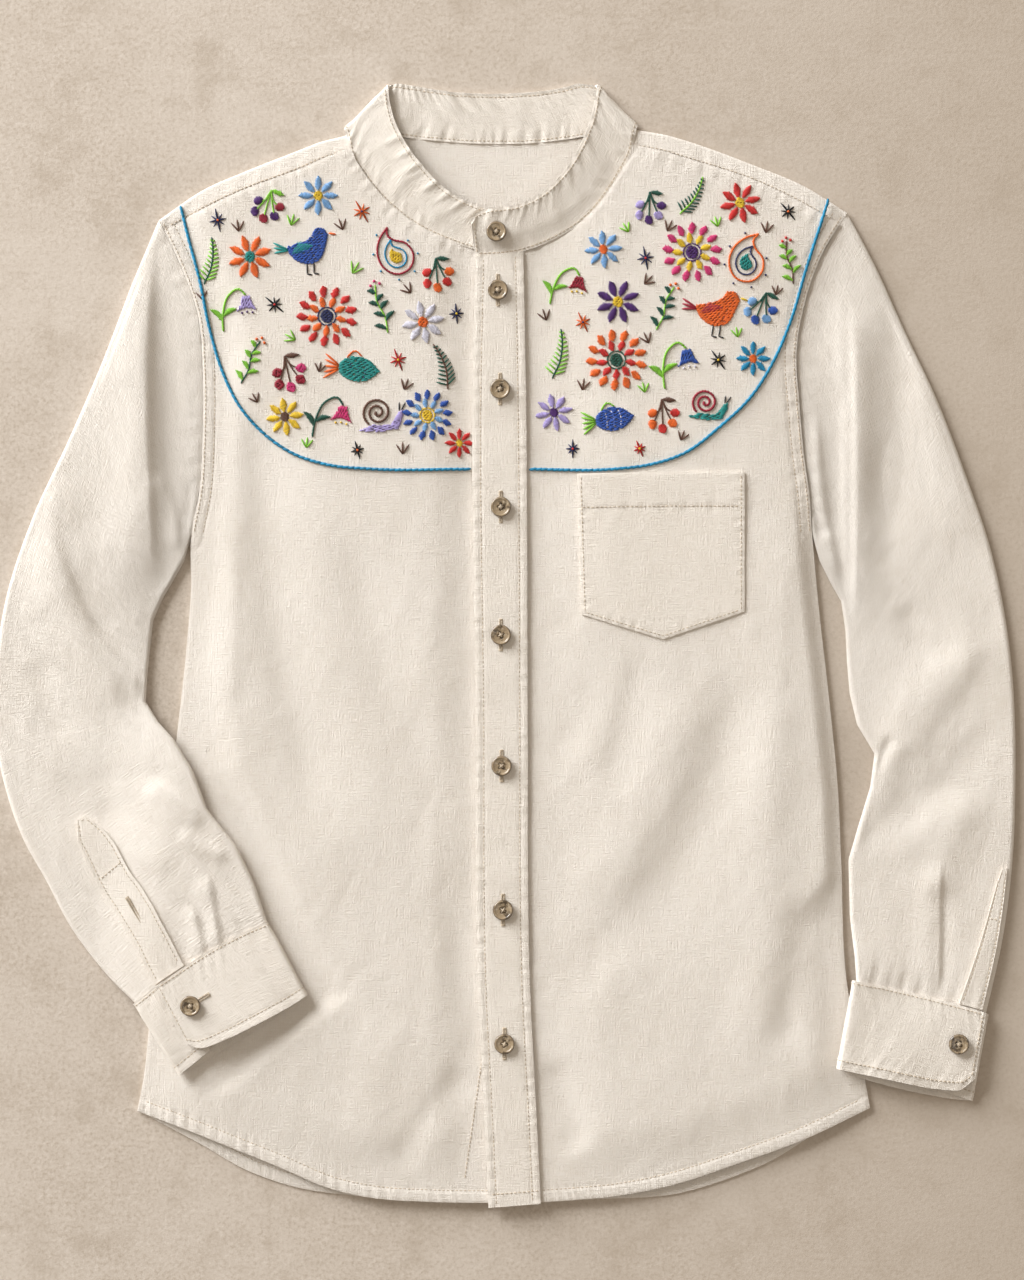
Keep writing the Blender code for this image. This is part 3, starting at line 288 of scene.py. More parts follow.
FRONT_FOLDS = table(Fold, (-205, 104, -204, 40, -206, -50, 1.3, 15, 13),
    (-193, 86, -183, 3, -151, -114, -2, 15, 13), (-131, 104, -78, -79, -24, -252, -2.2, 13, 18),
    (-142, 66, -133, -60, -118, -190, 1.2, 17, 17), (-24, -288, -52, -321, -78, -364, -2.2, 11, 10),
    (-70, -250, -92, -300, -100, -360, 0.9, 15, 15), (168, 0, 122, -128, 34, -254, -2.3, 15, 15),
    (186, 6, 180, -150, 168, -310, 1.3, 20, 18), (206, -170, 200, -230, 188, -286, -2, 13, 11),
    (30, -284, 43, -318, 54, -352, -1.7, 11, 11), (82, 20, 63, -30, 36, -84, -1.5, 13, 13),
    (120, -30, 92, -110, 50, -180, 0.9, 14, 14))
SLEEVE_RIGHT_FOLDS = table(Fold, (-258, 256, -247, 160, -242, 16, 2.6, 11, 36),
    (-238, 256, -229, 160, -228, 56, -1.2, 9, 12), (-324, 70, -278, -14, -210, -92, 2.8, 8, 28),
    (-306, 44, -262, -18, -240, -52, -1.5, 14, 8), (-322, -84, -290, -112, -228, -108, -1.6, 12, 10),
    (-304, -122, -262, -142, -222, -152, 1.1, 12, 12), (-198, -156, -202, -182, -206, -208, -1.1, 7, 7))
SLEEVE_LEFT_FOLDS = table(Fold, (233, 254, 236, 160, 234, 26, 2.4, 24, 9),
    (254, 240, 256, 160, 254, 66, -1.3, 12, 10), (342, 36, 300, -18, 248, -64, 2.5, 14, 17),
    (328, -28, 276, -70, 262, -142, -1.8, 12, 12), (340, -110, 296, -122, 262, -150, 0.9, 14, 14),
    (302, -160, 299, -200, 298, -244, -1.5, 8, 8))
FRONT_CREASES = table(Fold, (-174, 196, -157, 30, -120, -142, -3.5, 25, 19),
    (-193, 86, -183, 3, -151, -114, 1.5, 15, 13), (-142, 66, -133, -60, -118, -190, -0.8, 17, 17),
    (-110, 96, -76, -30, -26, -150, -1.7, 20, 14), (-131, 104, -78, -79, -24, -252, 1.5, 13, 18),
    (168, -20, 142, -125, 78, -228, -1.4, 22, 17), (168, 0, 122, -128, 34, -254, 1, 15, 15),
    (130, -26, 112, -110, 68, -182, 0.9, 15, 15), (190, 110, 188, -20, 182, -150, 1, 13, 24),
    (98, 0, 87, -42, 70, -108, -1.2, 16, 12), (82, 20, 63, -30, 36, -84, 1.1, 13, 13),
    (-24, -288, -52, -321, -78, -364, 1.1, 11, 10))
SLEEVE_RIGHT_CREASES = table(Fold, (-243, 286, -247, 180, -243, 44, 3, 4.5, 32),
    (-236, 200, -233, 110, -234, 30, -1, 6, 7), (-316, 82, -286, 12, -243, -40, 3, 5, 18),
    (-324, 70, -278, -14, -210, -92, -1.1, 8, 28), (-306, 44, -262, -18, -240, -52, 0.8, 14, 8),
    (-240, 122, -230, 92, -225, 62, 1.9, 5, 7), (-216, 112, -218, 92, -223, 72, -0.9, 4, 5),
    (-322, -84, -290, -112, -228, -108, 0.9, 12, 10), (-246, -92, -226, -104, -202, -122, 1.9, 4.4, 13),
    (-222, -98, -256, -90, -304, -105, -0.6, 9, 9), (-322, -6, -314, -36, -300, -68, -1, 9, 9),
    (-224, -127, -207, -139, -188, -146, 1.6, 5, 6), (-204, -156, -199, -188, -195, -212, 2.2, 2.6, 9),
    (-215, -178, -210, -198, -205, -218, 1.8, 2.6, 7), (-262, 196, -272, 120, -280, 60, -1.2, 14, 16),
    (-300, 120, -316, 60, -326, 10, 1.1, 14, 12))
SLEEVE_LEFT_CREASES = table(Fold, (241, 244, 243, 128, 242, 0, 2.4, 20, 4),
    (231, 190, 230, 100, 233, 20, -1.2, 4, 8), (269, 272, 270, 170, 267, 62, -2, 13, 12),
    (212, 168, 219, 95, 232, 32, 1.8, 4, 6), (207, 106, 212, 90, 222, 72, -2.3, 4, 4),
    (342, 36, 300, -18, 248, -64, -1.6, 14, 17), (332, 12, 298, -40, 259, -88, 2.2, 12, 20),
    (328, -28, 276, -70, 262, -142, 1.2, 12, 12), (342, -50, 296, -104, 266, -132, -1.2, 14, 12),
    (254, -88, 260, -76, 268, -62, -1.5, 4, 4), (292, -90, 268, -112, 244, -144, -1, 13, 12),
    (322, -100, 305, -140, 298, -176, 1.3, 13, 14), (299, -146, 299, -195, 298, -244, 2.3, 2.6, 12),
    (283, 200, 300, 130, 312, 60, 1.2, 16, 12), (272, 30, 290, 0, 318, -6, -1.2, 10, 10),
    (258, 150, 261, 98, 262, 40, -1.4, 12, 12))
SLEEVE_PLACKET_RIGHT = table(Opening, (0.785, 0.32, 0.36), (0.81, 0.26, 0.41), (0.84, 0.255, 0.44),
    (0.9, 0.255, 0.455), (0.95, 0.235, 0.43), (0.998, 0.18, 0.402))
SLEEVE_PLACKET_LEFT = table(Opening, (0.825, 0.035, 0.06), (0.845, 0.035, 0.085), (0.875, 0.035, 0.11),
    (0.925, 0.035, 0.15), (0.998, 0.04, 0.217))

POCKET_TOP = table(Point, (50, 118), (108, 119), (165, 119))
POCKET_BOTTOM = table(Point, (53, 21), (109, 4), (165, 23))
PLACKET_LEFT = table(Point, (-11, -387), (-14, -322), (-18, -245), (-20, -38), (-22, 160), (-20, 267.5))
PLACKET_RIGHT = table(Point, (25, -384), (22, -322), (18, -245), (16, -38), (15, 160), (13, 270.5))
BORDER_RIGHT = table(Point, (-223, 303), (-218, 282), (-210, 252), (-203, 218), (-194, 188), (-182, 164),
    (-165, 145), (-146, 132), (-122, 124), (-91, 121), (-22.5, 121))
BORDER_LEFT = table(Point, (223, 307), (216, 285), (207, 257), (198, 226), (186, 197), (169, 170), (148, 150),
    (124, 132), (100, 124), (76, 121), (16.5, 121))

RIGHT_MOTIFS = motifs([("star", -197, 292, 8.25, 12, "navy orange navy"),
    ("berries", -163, 301, 12.9, -8, "crimson lime purple"), ("daisy", -128, 309, 13.5, 0, "sky yellow sky"),
    ("star", -98, 298, 8.8, 30, "orange navy navy"), ("fern", -202, 264, 16.4, -12, "lime forest forest"),
    ("daisy", -175, 267, 15.2, 20, "orange teal teal"), ("bird", -137, 272, 19.9, 6, "royal teal orange"),
    ("paisley", -76, 270, 17.5, 24, "crimson turquoise yellow"),
    ("berries", -46, 254, 12.9, 12, "orange forest red"), ("bell", -186, 232, 15.8, 4, "lilac lime purple"),
    ("star", -158, 234, 8.25, 50, "black red black"), ("zinnia", -122, 226, 21, 8, "red orange navy"),
    ("sprig", -86, 232, 18.7, 18, "forest lime pink"), ("daisy", -56, 222, 14.6, 12, "pale orange orange"),
    ("star", -33, 228, 7.15, 5, "navy yellow navy"), ("sprig", -175, 196, 17.5, -22, "lime forest orange"),
    ("berries", -148, 186, 14, 20, "pink brown crimson"), ("fish", -104, 190, 19.9, -6, "teal orange navy"),
    ("star", -73, 196, 8.25, 20, "red yellow red"), ("fern", -42, 192, 16.4, 16, "forest brown brown"),
    ("daisy", -151, 157, 12.9, 8, "yellow brown brown"), ("bell", -121, 158, 16.4, -8, "pink forest yellow"),
    ("snail", -86, 158, 16.4, 3, "brown black lilac"), ("zinnia", -53, 158, 17.5, 0, "royal sky yellow"),
    ("star", -101, 134, 6.6, 15, "black orange black"), ("daisy", -31, 139, 9.95, 0, "red yellow yellow")], [
    (-183, 287, 5.62, 8, "brown"), (-146, 291, 5.62, -14, "lime"), (-112, 288, 5.62, 20, "brown"),
    (-103, 258, 6.25, -30, "lime"), (-208, 240, 5, 10, "brown"), (-66, 244, 5.62, 40, "brown"),
    (-146, 211, 5.62, 60, "lime"), (-127, 190, 5, -10, "brown"), (-68, 178, 5.62, -20, "brown"),
    (-171, 169, 5, 30, "brown"), (-136, 138, 5, -6, "lime"), (-70, 134, 5.62, 0, "brown")])

LEFT_MOTIFS = motifs([("star", 195, 298, 7.7, 40, "black orange black"),
    ("daisy", 162, 304, 14, 14, "red yellow yellow"), ("fern", 130, 308, 15.2, -34, "forest lime lime"),
    ("berries", 100, 300, 12.3, 6, "purple forest lilac"), ("sprig", 195, 264, 16.4, 12, "lime brown red"),
    ("paisley", 167, 266, 18.1, -16, "orange navy teal"), ("zinnia", 129, 270, 20.5, 0, "pink yellow purple"),
    ("star", 97, 266, 8.25, 10, "navy red navy"), ("daisy", 68, 272, 12.9, 5, "sky orange orange"),
    ("bell", 42, 248, 15.2, -10, "crimson lime yellow"), ("berries", 176, 231, 12.9, -14, "royal forest sky"),
    ("bird", 144, 230, 20.5, -4, "orange crimson yellow"),
    ("sprig", 110, 233, 17.5, -20, "forest lime orange"),
    ("daisy", 78, 236, 15.2, 22, "purple yellow yellow"), ("star", 54, 222, 7.7, 25, "orange navy orange"),
    ("daisy", 171, 197, 11.7, 0, "turquoise orange orange"),
    ("star", 147, 196, 8.25, 35, "black yellow black"), ("bell", 117, 194, 17, 8, "royal lime pale"),
    ("zinnia", 77, 196, 21.1, 10, "orange red forest"), ("fern", 38, 200, 17.5, -12, "lime forest forest"),
    ("snail", 139, 165, 14.6, -4, "crimson black teal"), ("berries", 109, 157, 12.9, 10, "red brown orange"),
    ("fish", 72, 155, 18.7, 8, "royal lime pale"), ("daisy", 34, 160, 12.9, 12, "lilac purple purple"),
    ("star", 47, 135, 6.6, 0, "navy red navy"), ("star", 93, 135, 6.05, 22, "red yellow red")], [
    (180, 286, 5.62, -10, "brown"), (146, 290, 5, 16, "lime"), (113, 287, 5.62, -24, "brown"),
    (84, 286, 5, 32, "lime"), (187, 243, 5, -12, "brown"), (98, 250, 5.62, -44, "brown"),
    (28, 226, 5.62, 18, "brown"), (160, 214, 5, 10, "lime"), (98, 210, 5.62, 24, "brown"),
    (54, 178, 5.62, -8, "brown"), (96, 176, 5, 12, "lime"), (122, 143, 5, -20, "brown")])

STAND_ROW = table(Point, (-13, -268), (-17, -295), (-22, -330), (-27.5, -368))
# Each buttonhole's button, its direction, how far it is shifted along that from the button, and its length
BUTTONHOLES = {f"front_{number}": (f"button_front_{number}", (0.0, 1.0), 0.0, 20.5) for number in range(1, 8)}
BUTTONHOLES["collar"] = ("button_collar", (1.0, 0.02), 4.2, 20.0)
BUTTONHOLES["cuff_right"] = ("button_cuff_right", (0.85, 0.53), 4.5, 20.0)
BUTTONHOLES["cuff_left"] = ("button_cuff_left", (-0.97, 0.20), 4.5, 20.0)
SLIT_PLACE = (-255.6, -182.0)      # the empty buttonhole of the right sleeve's placket
SLIT_WAY = (0.52, -0.854, 0.0)
SLIT_LENGTH = 19.0
BUTTON_SPIN = 0.37                 # turn from one button to the next, radians


# Curves, folds and waves

def spline(points: Sequence, shares: Array) -> Array:
    """Smooth curve through points: cubic pieces whose slopes are the finite differences of the points.

    Args:
        points: the points, in the plan or in space.
        shares: where to read it, 0 to 1 of its chord length.

    Returns:
        One point for each share.
    """
    knots = np.asarray(points, float)
    at = reached(knots[:, :2])
    slope = np.gradient(knots, at, axis=0)
    where = np.clip(np.asarray(shares, float), 0.0, 1.0) * at[-1]
    return hermite(knots, at, slope, where)


def even(count: int) -> Array:
    """Shares from 0 to 1 by even steps."""
    return np.linspace(0.0, 1.0, count)


def curve(points: Sequence, count: int) -> Array:
    """Smooth curve through points, as count points."""
    return spline(points, even(count))


def bent(points: Sequence, count: int) -> Array:
    """Two straight lines through three points, as count points each."""
    return np.concatenate([curve(points[:2], count)[:-1], curve(points[1:], count)])


def hermite(knots: Array, at: Array, slope: Array, where: Array) -> Array:
    """Cubic pieces between knots with the given slopes, read at the parameters where."""
    index = np.clip(np.searchsorted(at, where, side="right") - 1, 0, len(at) - 2)
    span = np.diff(at)[index]
    t = ((where - at[index]) / span)[:, None]
    span = span[:, None]
    start, end = knots[index], knots[index + 1]
    return ((2 * t ** 3 - 3 * t ** 2 + 1) * start + (t ** 3 - 2 * t ** 2 + t) * span * slope[index]
            + (3 * t ** 2 - 2 * t ** 3) * end + (t ** 3 - t ** 2) * span * slope[index + 1])


def steady_slopes(knots: Array, at: Array) -> Array:
    """Slopes that never overshoot: the harmonic mean of both sides, and nothing where they turn back."""
    gaps = np.diff(at)[:, None]
    secant = np.diff(knots, axis=0) / gaps
    before, after = secant[:-1], secant[1:]
    weight_before = 2 * gaps[1:] + gaps[:-1]
    weight_after = gaps[1:] + 2 * gaps[:-1]
    same = before * after > 1e-12
    safe_before, safe_after = np.where(same, before, 1.0), np.where(same, after, 1.0)
    middle = (weight_before + weight_after) / (weight_before / safe_before + weight_after / safe_after)
    return np.concatenate([secant[:1], np.where(same, middle, 0.0), secant[-1:]])


def smooth_step(value: Array) -> Array:
    """0 below 0, 1 above 1, and a smooth rise between."""
    t = np.clip(value, 0.0, 1.0)
    return t * t * (3.0 - 2.0 * t)


def bell(value: Array, width: float) -> Array:
    """Bell curve: 1 at 0, falling off over width."""
    return np.exp(-(value / width) ** 2)


def edge_x(edge: Sequence[Point], y: Array) -> Array:
    """The x of a body edge, which runs from hem to shoulder, at the heights y."""
    line = curve(edge, 160)
    return np.interp(y, line[:, 1], line[:, 0])


def edge_points(edge: Sequence[Point], y: Array) -> Array:
    """Points of a body edge at the heights y."""
    return np.column_stack([edge_x(edge, y), y])


def yoke_seam(points: Sequence[Point], edge: Sequence[Point], shares: Array) -> Array:
    """The yoke seam, whose outer end is put exactly on the armhole."""
    outer = (YOKE_SEAM_RIGHT[0], YOKE_SEAM_LEFT[-1])
    ends = [Point(float(edge_x(edge, point.y)), point.y) if point in outer else point for point in points]
    return spline(ends, shares)


def coons(bottom: Array, top: Array, left: Array, right: Array) -> Array:
    """Fill four edge curves: the mean across plus the mean along, less the bilinear patch of the corners."""
    across = arc_shares(bottom)[None, :, None]
    along = arc_shares(left)[:, None, None]
    rows = (1 - along) * bottom[None] + along * top[None]
    columns = (1 - across) * left[:, None] + across * right[:, None]
    corners = ((1 - across) * (1 - along) * bottom[0] + across * (1 - along) * bottom[-1]
               + (1 - across) * along * top[0] + across * along * top[-1])
    return rows + columns - corners


def reached(line: Array) -> Array:
    """Length of a line up to each of its points."""
    return np.concatenate([[0.0], np.cumsum(np.linalg.norm(np.diff(line, axis=0), axis=1))])


def arc_shares(line: Array) -> Array:
    """Share of a line's length that is reached at each of its points."""
    at = reached(line)
    return at / at[-1]


def read_line(line: Array, at: Array, where: Array) -> Array:
    """Points of a line by straight steps, at the places where on the scale at of its own points."""
    return np.column_stack([np.interp(where, at, line[:, axis]) for axis in range(line.shape[1])])


def unit(vectors: Array) -> Array:
    """The same directions with a length of 1."""
    return vectors / np.maximum(np.linalg.norm(vectors, axis=-1, keepdims=True), 1e-9)


def to_left(ways: Array) -> Array:
    """Plan directions turned a quarter turn to their left."""
    return np.column_stack([-ways[:, 1], ways[:, 0]])


def graded(total: float, fine: float, reach: float, coarse: float, step: int) -> Array:
    """Shares of a length: close together near its ends and wider between, a multiple of step in all."""
    near = max(1, round(reach / fine))
    between = max(1, round((total - 2 * reach) / coarse))
    between += -(2 * near + between) % step
    marks = np.concatenate([np.linspace(0, reach, near + 1)[:-1],
                            np.linspace(reach, total - reach, between + 1)[:-1],
                            np.linspace(total - reach, total, near + 1)])
    return marks / total


class Nearest(NamedTuple):
    """Where points lie from a line: how far off, how far along it, and on which side (left is above 0)."""

    distance: Array
    along: Array
    side: Array


def to_line(x: Array, y: Array, line: Array) -> Nearest:
    """Nearest point of a line of short straight steps, taken step by step over whole arrays."""
    distance = np.full(np.shape(x), 1e9)
    along, side = np.zeros(np.shape(x)), np.zeros(np.shape(x))
    passed = 0.0
    for start, end in zip(line[:-1], line[1:]):
        step = end - start
        length = math.hypot(step[0], step[1])
        t = np.clip(((x - start[0]) * step[0] + (y - start[1]) * step[1]) / length ** 2, 0.0, 1.0)
        off_x, off_y = x - start[0] - t * step[0], y - start[1] - t * step[1]
        off = np.hypot(off_x, off_y)
        closer = off < distance
        distance = np.where(closer, off, distance)
        along = np.where(closer, passed + t * length, along)
        side = np.where(closer, step[0] * off_y - step[1] * off_x, side)
        passed += length
    return Nearest(distance, along, side)


def fold_height(x: Array, y: Array, folds: Sequence[Fold]) -> Array:
    """Sum of folds: each falls off as a bell curve from its line, and fades out at its two ends."""
    x, y = np.atleast_1d(x), np.atleast_1d(y)
    total = np.zeros(x.shape)
    for fold in folds:
        corners = np.array([[fold.x0, fold.y0], [fold.x1, fold.y1], [fold.x2, fold.y2]], float)
        line = curve(corners, 15)
        reach = BELL_REACH * max(fold.left, fold.right)
        (low_x, low_y), (high_x, high_y) = line.min(axis=0) - reach, line.max(axis=0) + reach
        inside = (x > low_x) & (x < high_x) & (y > low_y) & (y < high_y)
        near = to_line(x[inside], y[inside], line)
        share = near.along / np.linalg.norm(np.diff(line, axis=0), axis=1).sum()
        width = np.where(near.side > 0, fold.left, fold.right)
        ends = smooth_step(share / FOLD_FADE) * smooth_step((1 - share) / FOLD_FADE)
        total[inside] += fold.rise * ends * np.exp(-(near.distance / width) ** 2)
    return total


def ripples(x: Array, y: Array, seed: int, longest: float, shortest: float, heading: float = 0.0,
            spread: float = math.pi, count: int = 18) -> Array:
    """Uneven ground: a sum of sine waves of mixed lengths and headings, about -1 to 1."""
    draw = np.random.default_rng(seed)
    lengths = np.exp(draw.uniform(math.log(shortest), math.log(longest), count))
    headings = heading + draw.uniform(-spread, spread, count) / 2
    phases = draw.uniform(0, 2 * math.pi, count)
    total = np.zeros(np.shape(x))
    for length, turn, phase in zip(lengths, headings, phases):
        total += np.sin(2 * math.pi * (x * math.cos(turn) + y * math.sin(turn)) / length + phase)
    return total / math.sqrt(2 * count)


def pucker(along: Array, seed: int, pitch: float) -> Array:
    """Uneven wave along a seam: sines near one pitch, about -1 to 1, with rounder tops than troughs."""
    draw = np.random.default_rng(seed)
    total = np.zeros(np.shape(along))
    for _ in range(7):
        length = pitch * math.exp(draw.uniform(-0.45, 0.55))
        total += np.sin(2 * math.pi * along / length + draw.uniform(0, 2 * math.pi))
    wave = total / 2.6
    return 1.0 - np.abs(1.0 - np.clip(wave, -1.4, 1.4)) ** 1.15


def sewn_strip(near: Nearest, width: float, seed: int, rise: float = 0.42, wave: float = 0.26,
               pitch: float = 6.6) -> Array:
    """Relief of a turned or felled strip along an edge.

    The strip stands up by its spare layers as far as its stitching, is drawn into puckers between the
    edge and the stitching, and the thread pulls a narrow dip into the cloth.
    """
    distance = near.distance
    inside = 1.0 - smooth_step((distance - width + 0.5) / 1.5)
    slanted = near.along + 0.35 * distance
    waves = wave * pucker(slanted, seed, pitch) * (0.35 * bell(distance - width - 2.5, 4.0)
                                                   + bell(distance - 0.5 * width, 0.62 * width))
    roll = -0.35 * bell(distance, 0.9)
    return rise * inside + waves - 0.5 * bell(distance - width, 0.95) + roll


def crumple(x: Array, y: Array, seed: int, depth: float = 0.30) -> Array:
    """Soft wear wrinkles: broad uneven ground and finer wavy creases, mostly up and down the cloth."""
    bend_x = x + 5.0 * ripples(x, y, seed + 1, 70, 30)
    bend_y = y + 5.0 * ripples(x, y, seed + 2, 70, 30)
    broad = ripples(bend_x, bend_y, seed + 3, 120, 45, 0.2, 2.2)
    creases = ripples(bend_x, bend_y, seed + 4, 34, 15, 0.1, 1.9)
    fine = ripples(bend_x, bend_y, seed + 5, 12, 6, 0.3, 2.6)
    return depth * (0.75 * broad + 0.36 * creases + 0.12 * fine)


# What the pieces lie on

def below_armpit(y: Array) -> Array:
    """1 well below the armpit, 0 well above it."""
    return smooth_step((ARMPIT_Y + 20.0 - y) / 40.0)


def front_lift(x: Array, y: Array) -> Array:
    """Underside of the fronts above the surface: low at the side seams, a little low at the armholes."""
    inset = np.minimum(x - edge_x(RIGHT_EDGE, y), edge_x(LEFT_EDGE, y) - x)
    near = bell(np.maximum(inset, 0.0), EDGE_WIDTH)
    at_side = below_armpit(y)
    drop = at_side * (FRONT_LIFT - SIDE_LIFT) + (1 - at_side) * SEAM_DIP
    folds = fold_height(x, y, FRONT_FOLDS) * (1 - near)
    return np.maximum(FRONT_LIFT - drop * near + folds, SIDE_LIFT)


def body_puff(x: Array, y: Array) -> Array:
    """How much fuller than the solid the fronts lie, between the placket and what covers their edges.

    The fuller cloth leaves room for the folds to be deeper, as in the photograph. It fades out at the
    edges, at the placket, and where the right forearm and both cuffs lie on the fronts.
    """
    from_right = x - edge_x(RIGHT_EDGE, y)
    from_left = edge_x(LEFT_EDGE, y) - x
    covered = np.interp(y, *np.array(FOREARM_REACH, float).T)
    hem = smooth_step((y - np.interp(x, *np.array(HEM_LOW).T)) / 40.0)
    above = smooth_step((y + 195.0) / 40.0)
    seam = 0.6 * smooth_step((y - ARMPIT_Y) / 40.0)
    free = (smooth_step((from_right - covered) / 22.0)
            * (seam + (1 - seam) * smooth_step((from_left - 12.0 + 11.0 * above) / (26.0 - 14.0 * above)))
            * np.where(x < 0, smooth_step((-22.0 - x) / 30.0), smooth_step((x - 18.0) / 58.0)) * hem)
    side = below_armpit(y) * above * (FRONT_LIFT - SIDE_LIFT)
    side *= bell(np.maximum(from_left, 0.0), EDGE_WIDTH) - bell(np.maximum(from_left, 0.0), 0.35 * EDGE_WIDTH)
    return side + free * (2.6 + fold_height(x, y, FRONT_CREASES))


def body_climb(x: Array, y: Array, edge: Sequence[Point], sign: float, level: float, from_y: float,
               length: float) -> Array:
    """Height of what a sleeve lies on: the surface, or above the front once past the side seam."""
    inside = (x - edge_x(edge, y)) * sign
    return level * smooth_step((from_y - y) / length) * smooth_step((inside + RAMP_START) / RAMP)


def under_right_sleeve(x: Array, y: Array) -> Array:
    """What the right sleeve lies on, which reaches the front at the elbow."""
    return body_climb(x, y, RIGHT_EDGE, 1.0, FOREARM_LIFT, -5.0, 60.0)


def under_left_sleeve(x: Array, y: Array) -> Array:
    """What the left sleeve lies on, which only reaches the front at the cuff."""
    return body_climb(x, y, LEFT_EDGE, -1.0, CUFF_LIFT, -190.0, 42.0)


# Meshes

def with_height(plan: Array, height: Array) -> Array:
    """Join plan points and their heights into points in space."""
    return np.concatenate([plan, np.broadcast_to(np.asarray(height), plan.shape[:-1])[..., None]], axis=-1)


def grid_quads(rows: int, columns: int, around: bool = False) -> Array:
    """Quads between a grid's points, counted row by row, with the last column joined to the first."""
    row, column = np.meshgrid(np.arange(rows - 1), np.arange(columns if around else columns - 1),
                              indexing="ij")
    after = (column + 1) % columns
    return np.stack([row * columns + column, row * columns + after, (row + 1) * columns + after,
                     (row + 1) * columns + column], axis=-1).reshape(-1, 4)


def cloth_wall(name: str, plan: Array, top: Array, under: Array, material, step: int = 3):
    """Closed wall of cloth between two heights over the same plan."""
    return wall(f"{name}_cloth", with_height(plan, top), with_height(plan, under), plan, material, step)


def join_lines(fine: Array, coarse: Array, step: int) -> Array:
    """Triangles between a fine line of points and a coarse one that has every step-th of them."""
    edges = np.arange(len(fine) - 1)
    anchor = (edges + (step - 1) // 2 + 1) // step if step > 1 else edges + 1
    fans = np.stack([fine[edges], coarse[anchor], fine[edges + 1]], axis=1)
    switch = np.searchsorted(anchor, np.arange(1, len(coarse)))
    bridges = np.stack([fine[switch], coarse[:-1], coarse[1:]], axis=1)
    return np.concatenate([fans, bridges])


def make_object(name: str, points: Array, faces: Sequence[Array], cut: Optional[Array], material,
                colours: Optional[Array] = None, sharp: float = 50.0):
    """Mesh object from arrays.

    Args:
        name: the piece's name.
        points: points in millimetres.
        faces: arrays of quads or triangles, all wound outwards.
        cut: a point of the flat cloth for each point, millimetres, kept as the UV map in metres.
        material: its finish.
        colours: a colour for each point, kept as the attribute named thread.
        sharp: edges bent by more than this, in degrees, stay sharp.

    Returns:
        The object, at the origin.
    """
    mesh = bpy.data.meshes.new(name)
    mesh.vertices.add(len(points))
    mesh.vertices.foreach_set("co", (np.asarray(points, float) * MM).ravel())
    corners = np.concatenate([part.ravel() for part in faces])
    sizes = np.concatenate([np.full(len(part), part.shape[1]) for part in faces])
    mesh.loops.add(len(corners))
    mesh.loops.foreach_set("vertex_index", corners.astype(np.int32))
    mesh.polygons.add(len(sizes))
    mesh.polygons.foreach_set("loop_start", np.concatenate([[0], np.cumsum(sizes)[:-1]]).astype(np.int32))
    mesh.update(calc_edges=True)
    if cut is not None:
        layer = mesh.uv_layers.new(name="cut")
        layer.data.foreach_set("uv", (cut[corners] * MM).ravel())
    if colours is not None:
        layer = mesh.color_attributes.new(name="thread", type="FLOAT_COLOR", domain="POINT")
        layer.data.foreach_set("color", np.column_stack([colours, np.ones(len(colours))]).ravel())
    mesh.materials.append(material)
    mesh.shade_smooth()
    if sharp < ALL_SMOOTH:
        mesh.set_sharp_from_angle(angle=math.radians(sharp))
    made = bpy.data.objects.new(name, mesh)
    bpy.context.scene.collection.objects.link(made)
    return made


def wall(name: str, outer: Array, inner: Array, cut: Array, material, step: int = 3, around: bool = False):
    """Closed wall of cloth between a fine outer grid and every step-th point of the inner grid.

    Args:
        name: the piece's name.
        outer: grid of points on the side that shows.
        inner: grid of the same size on the other side.
        cut: grid of points of the flat cloth.
        material: its finish.
        step: how many cells of the outer grid one cell of the inner grid spans.
        around: whether the last column joins the first.

    Returns:
        The object.
    """
    rows, columns = outer.shape[:2]
    coarse = inner[::step, ::step]
    low_rows, low_columns = coarse.shape[:2]
    base = rows * columns
    fine_ids = np.arange(base).reshape(rows, columns)
    low_ids = base + np.arange(low_rows * low_columns).reshape(low_rows, low_columns)
    quads = [grid_quads(rows, columns, around), base + grid_quads(low_rows, low_columns, around)[:, ::-1]]
    if around:
        fine_ids, low_ids = (np.pad(ids, ((0, 0), (0, 1)), "wrap") for ids in (fine_ids, low_ids))
        lines = [(fine_ids[0][::-1], low_ids[0][::-1]), (fine_ids[-1], low_ids[-1])]
    else:
        lines = [(fine_ids[0][::-1], low_ids[0][::-1]), (fine_ids[:, -1][::-1], low_ids[:, -1][::-1]),
                 (fine_ids[-1], low_ids[-1]), (fine_ids[:, 0], low_ids[:, 0])]
    rims = [join_lines(fine, low, step) for fine, low in lines]
    points = np.concatenate([outer.reshape(-1, 3), coarse.reshape(-1, 3)])
    flat = np.concatenate([cut.reshape(-1, 2), cut[::step, ::step].reshape(-1, 2)])
    return make_object(name, points, quads + rims, flat, material)


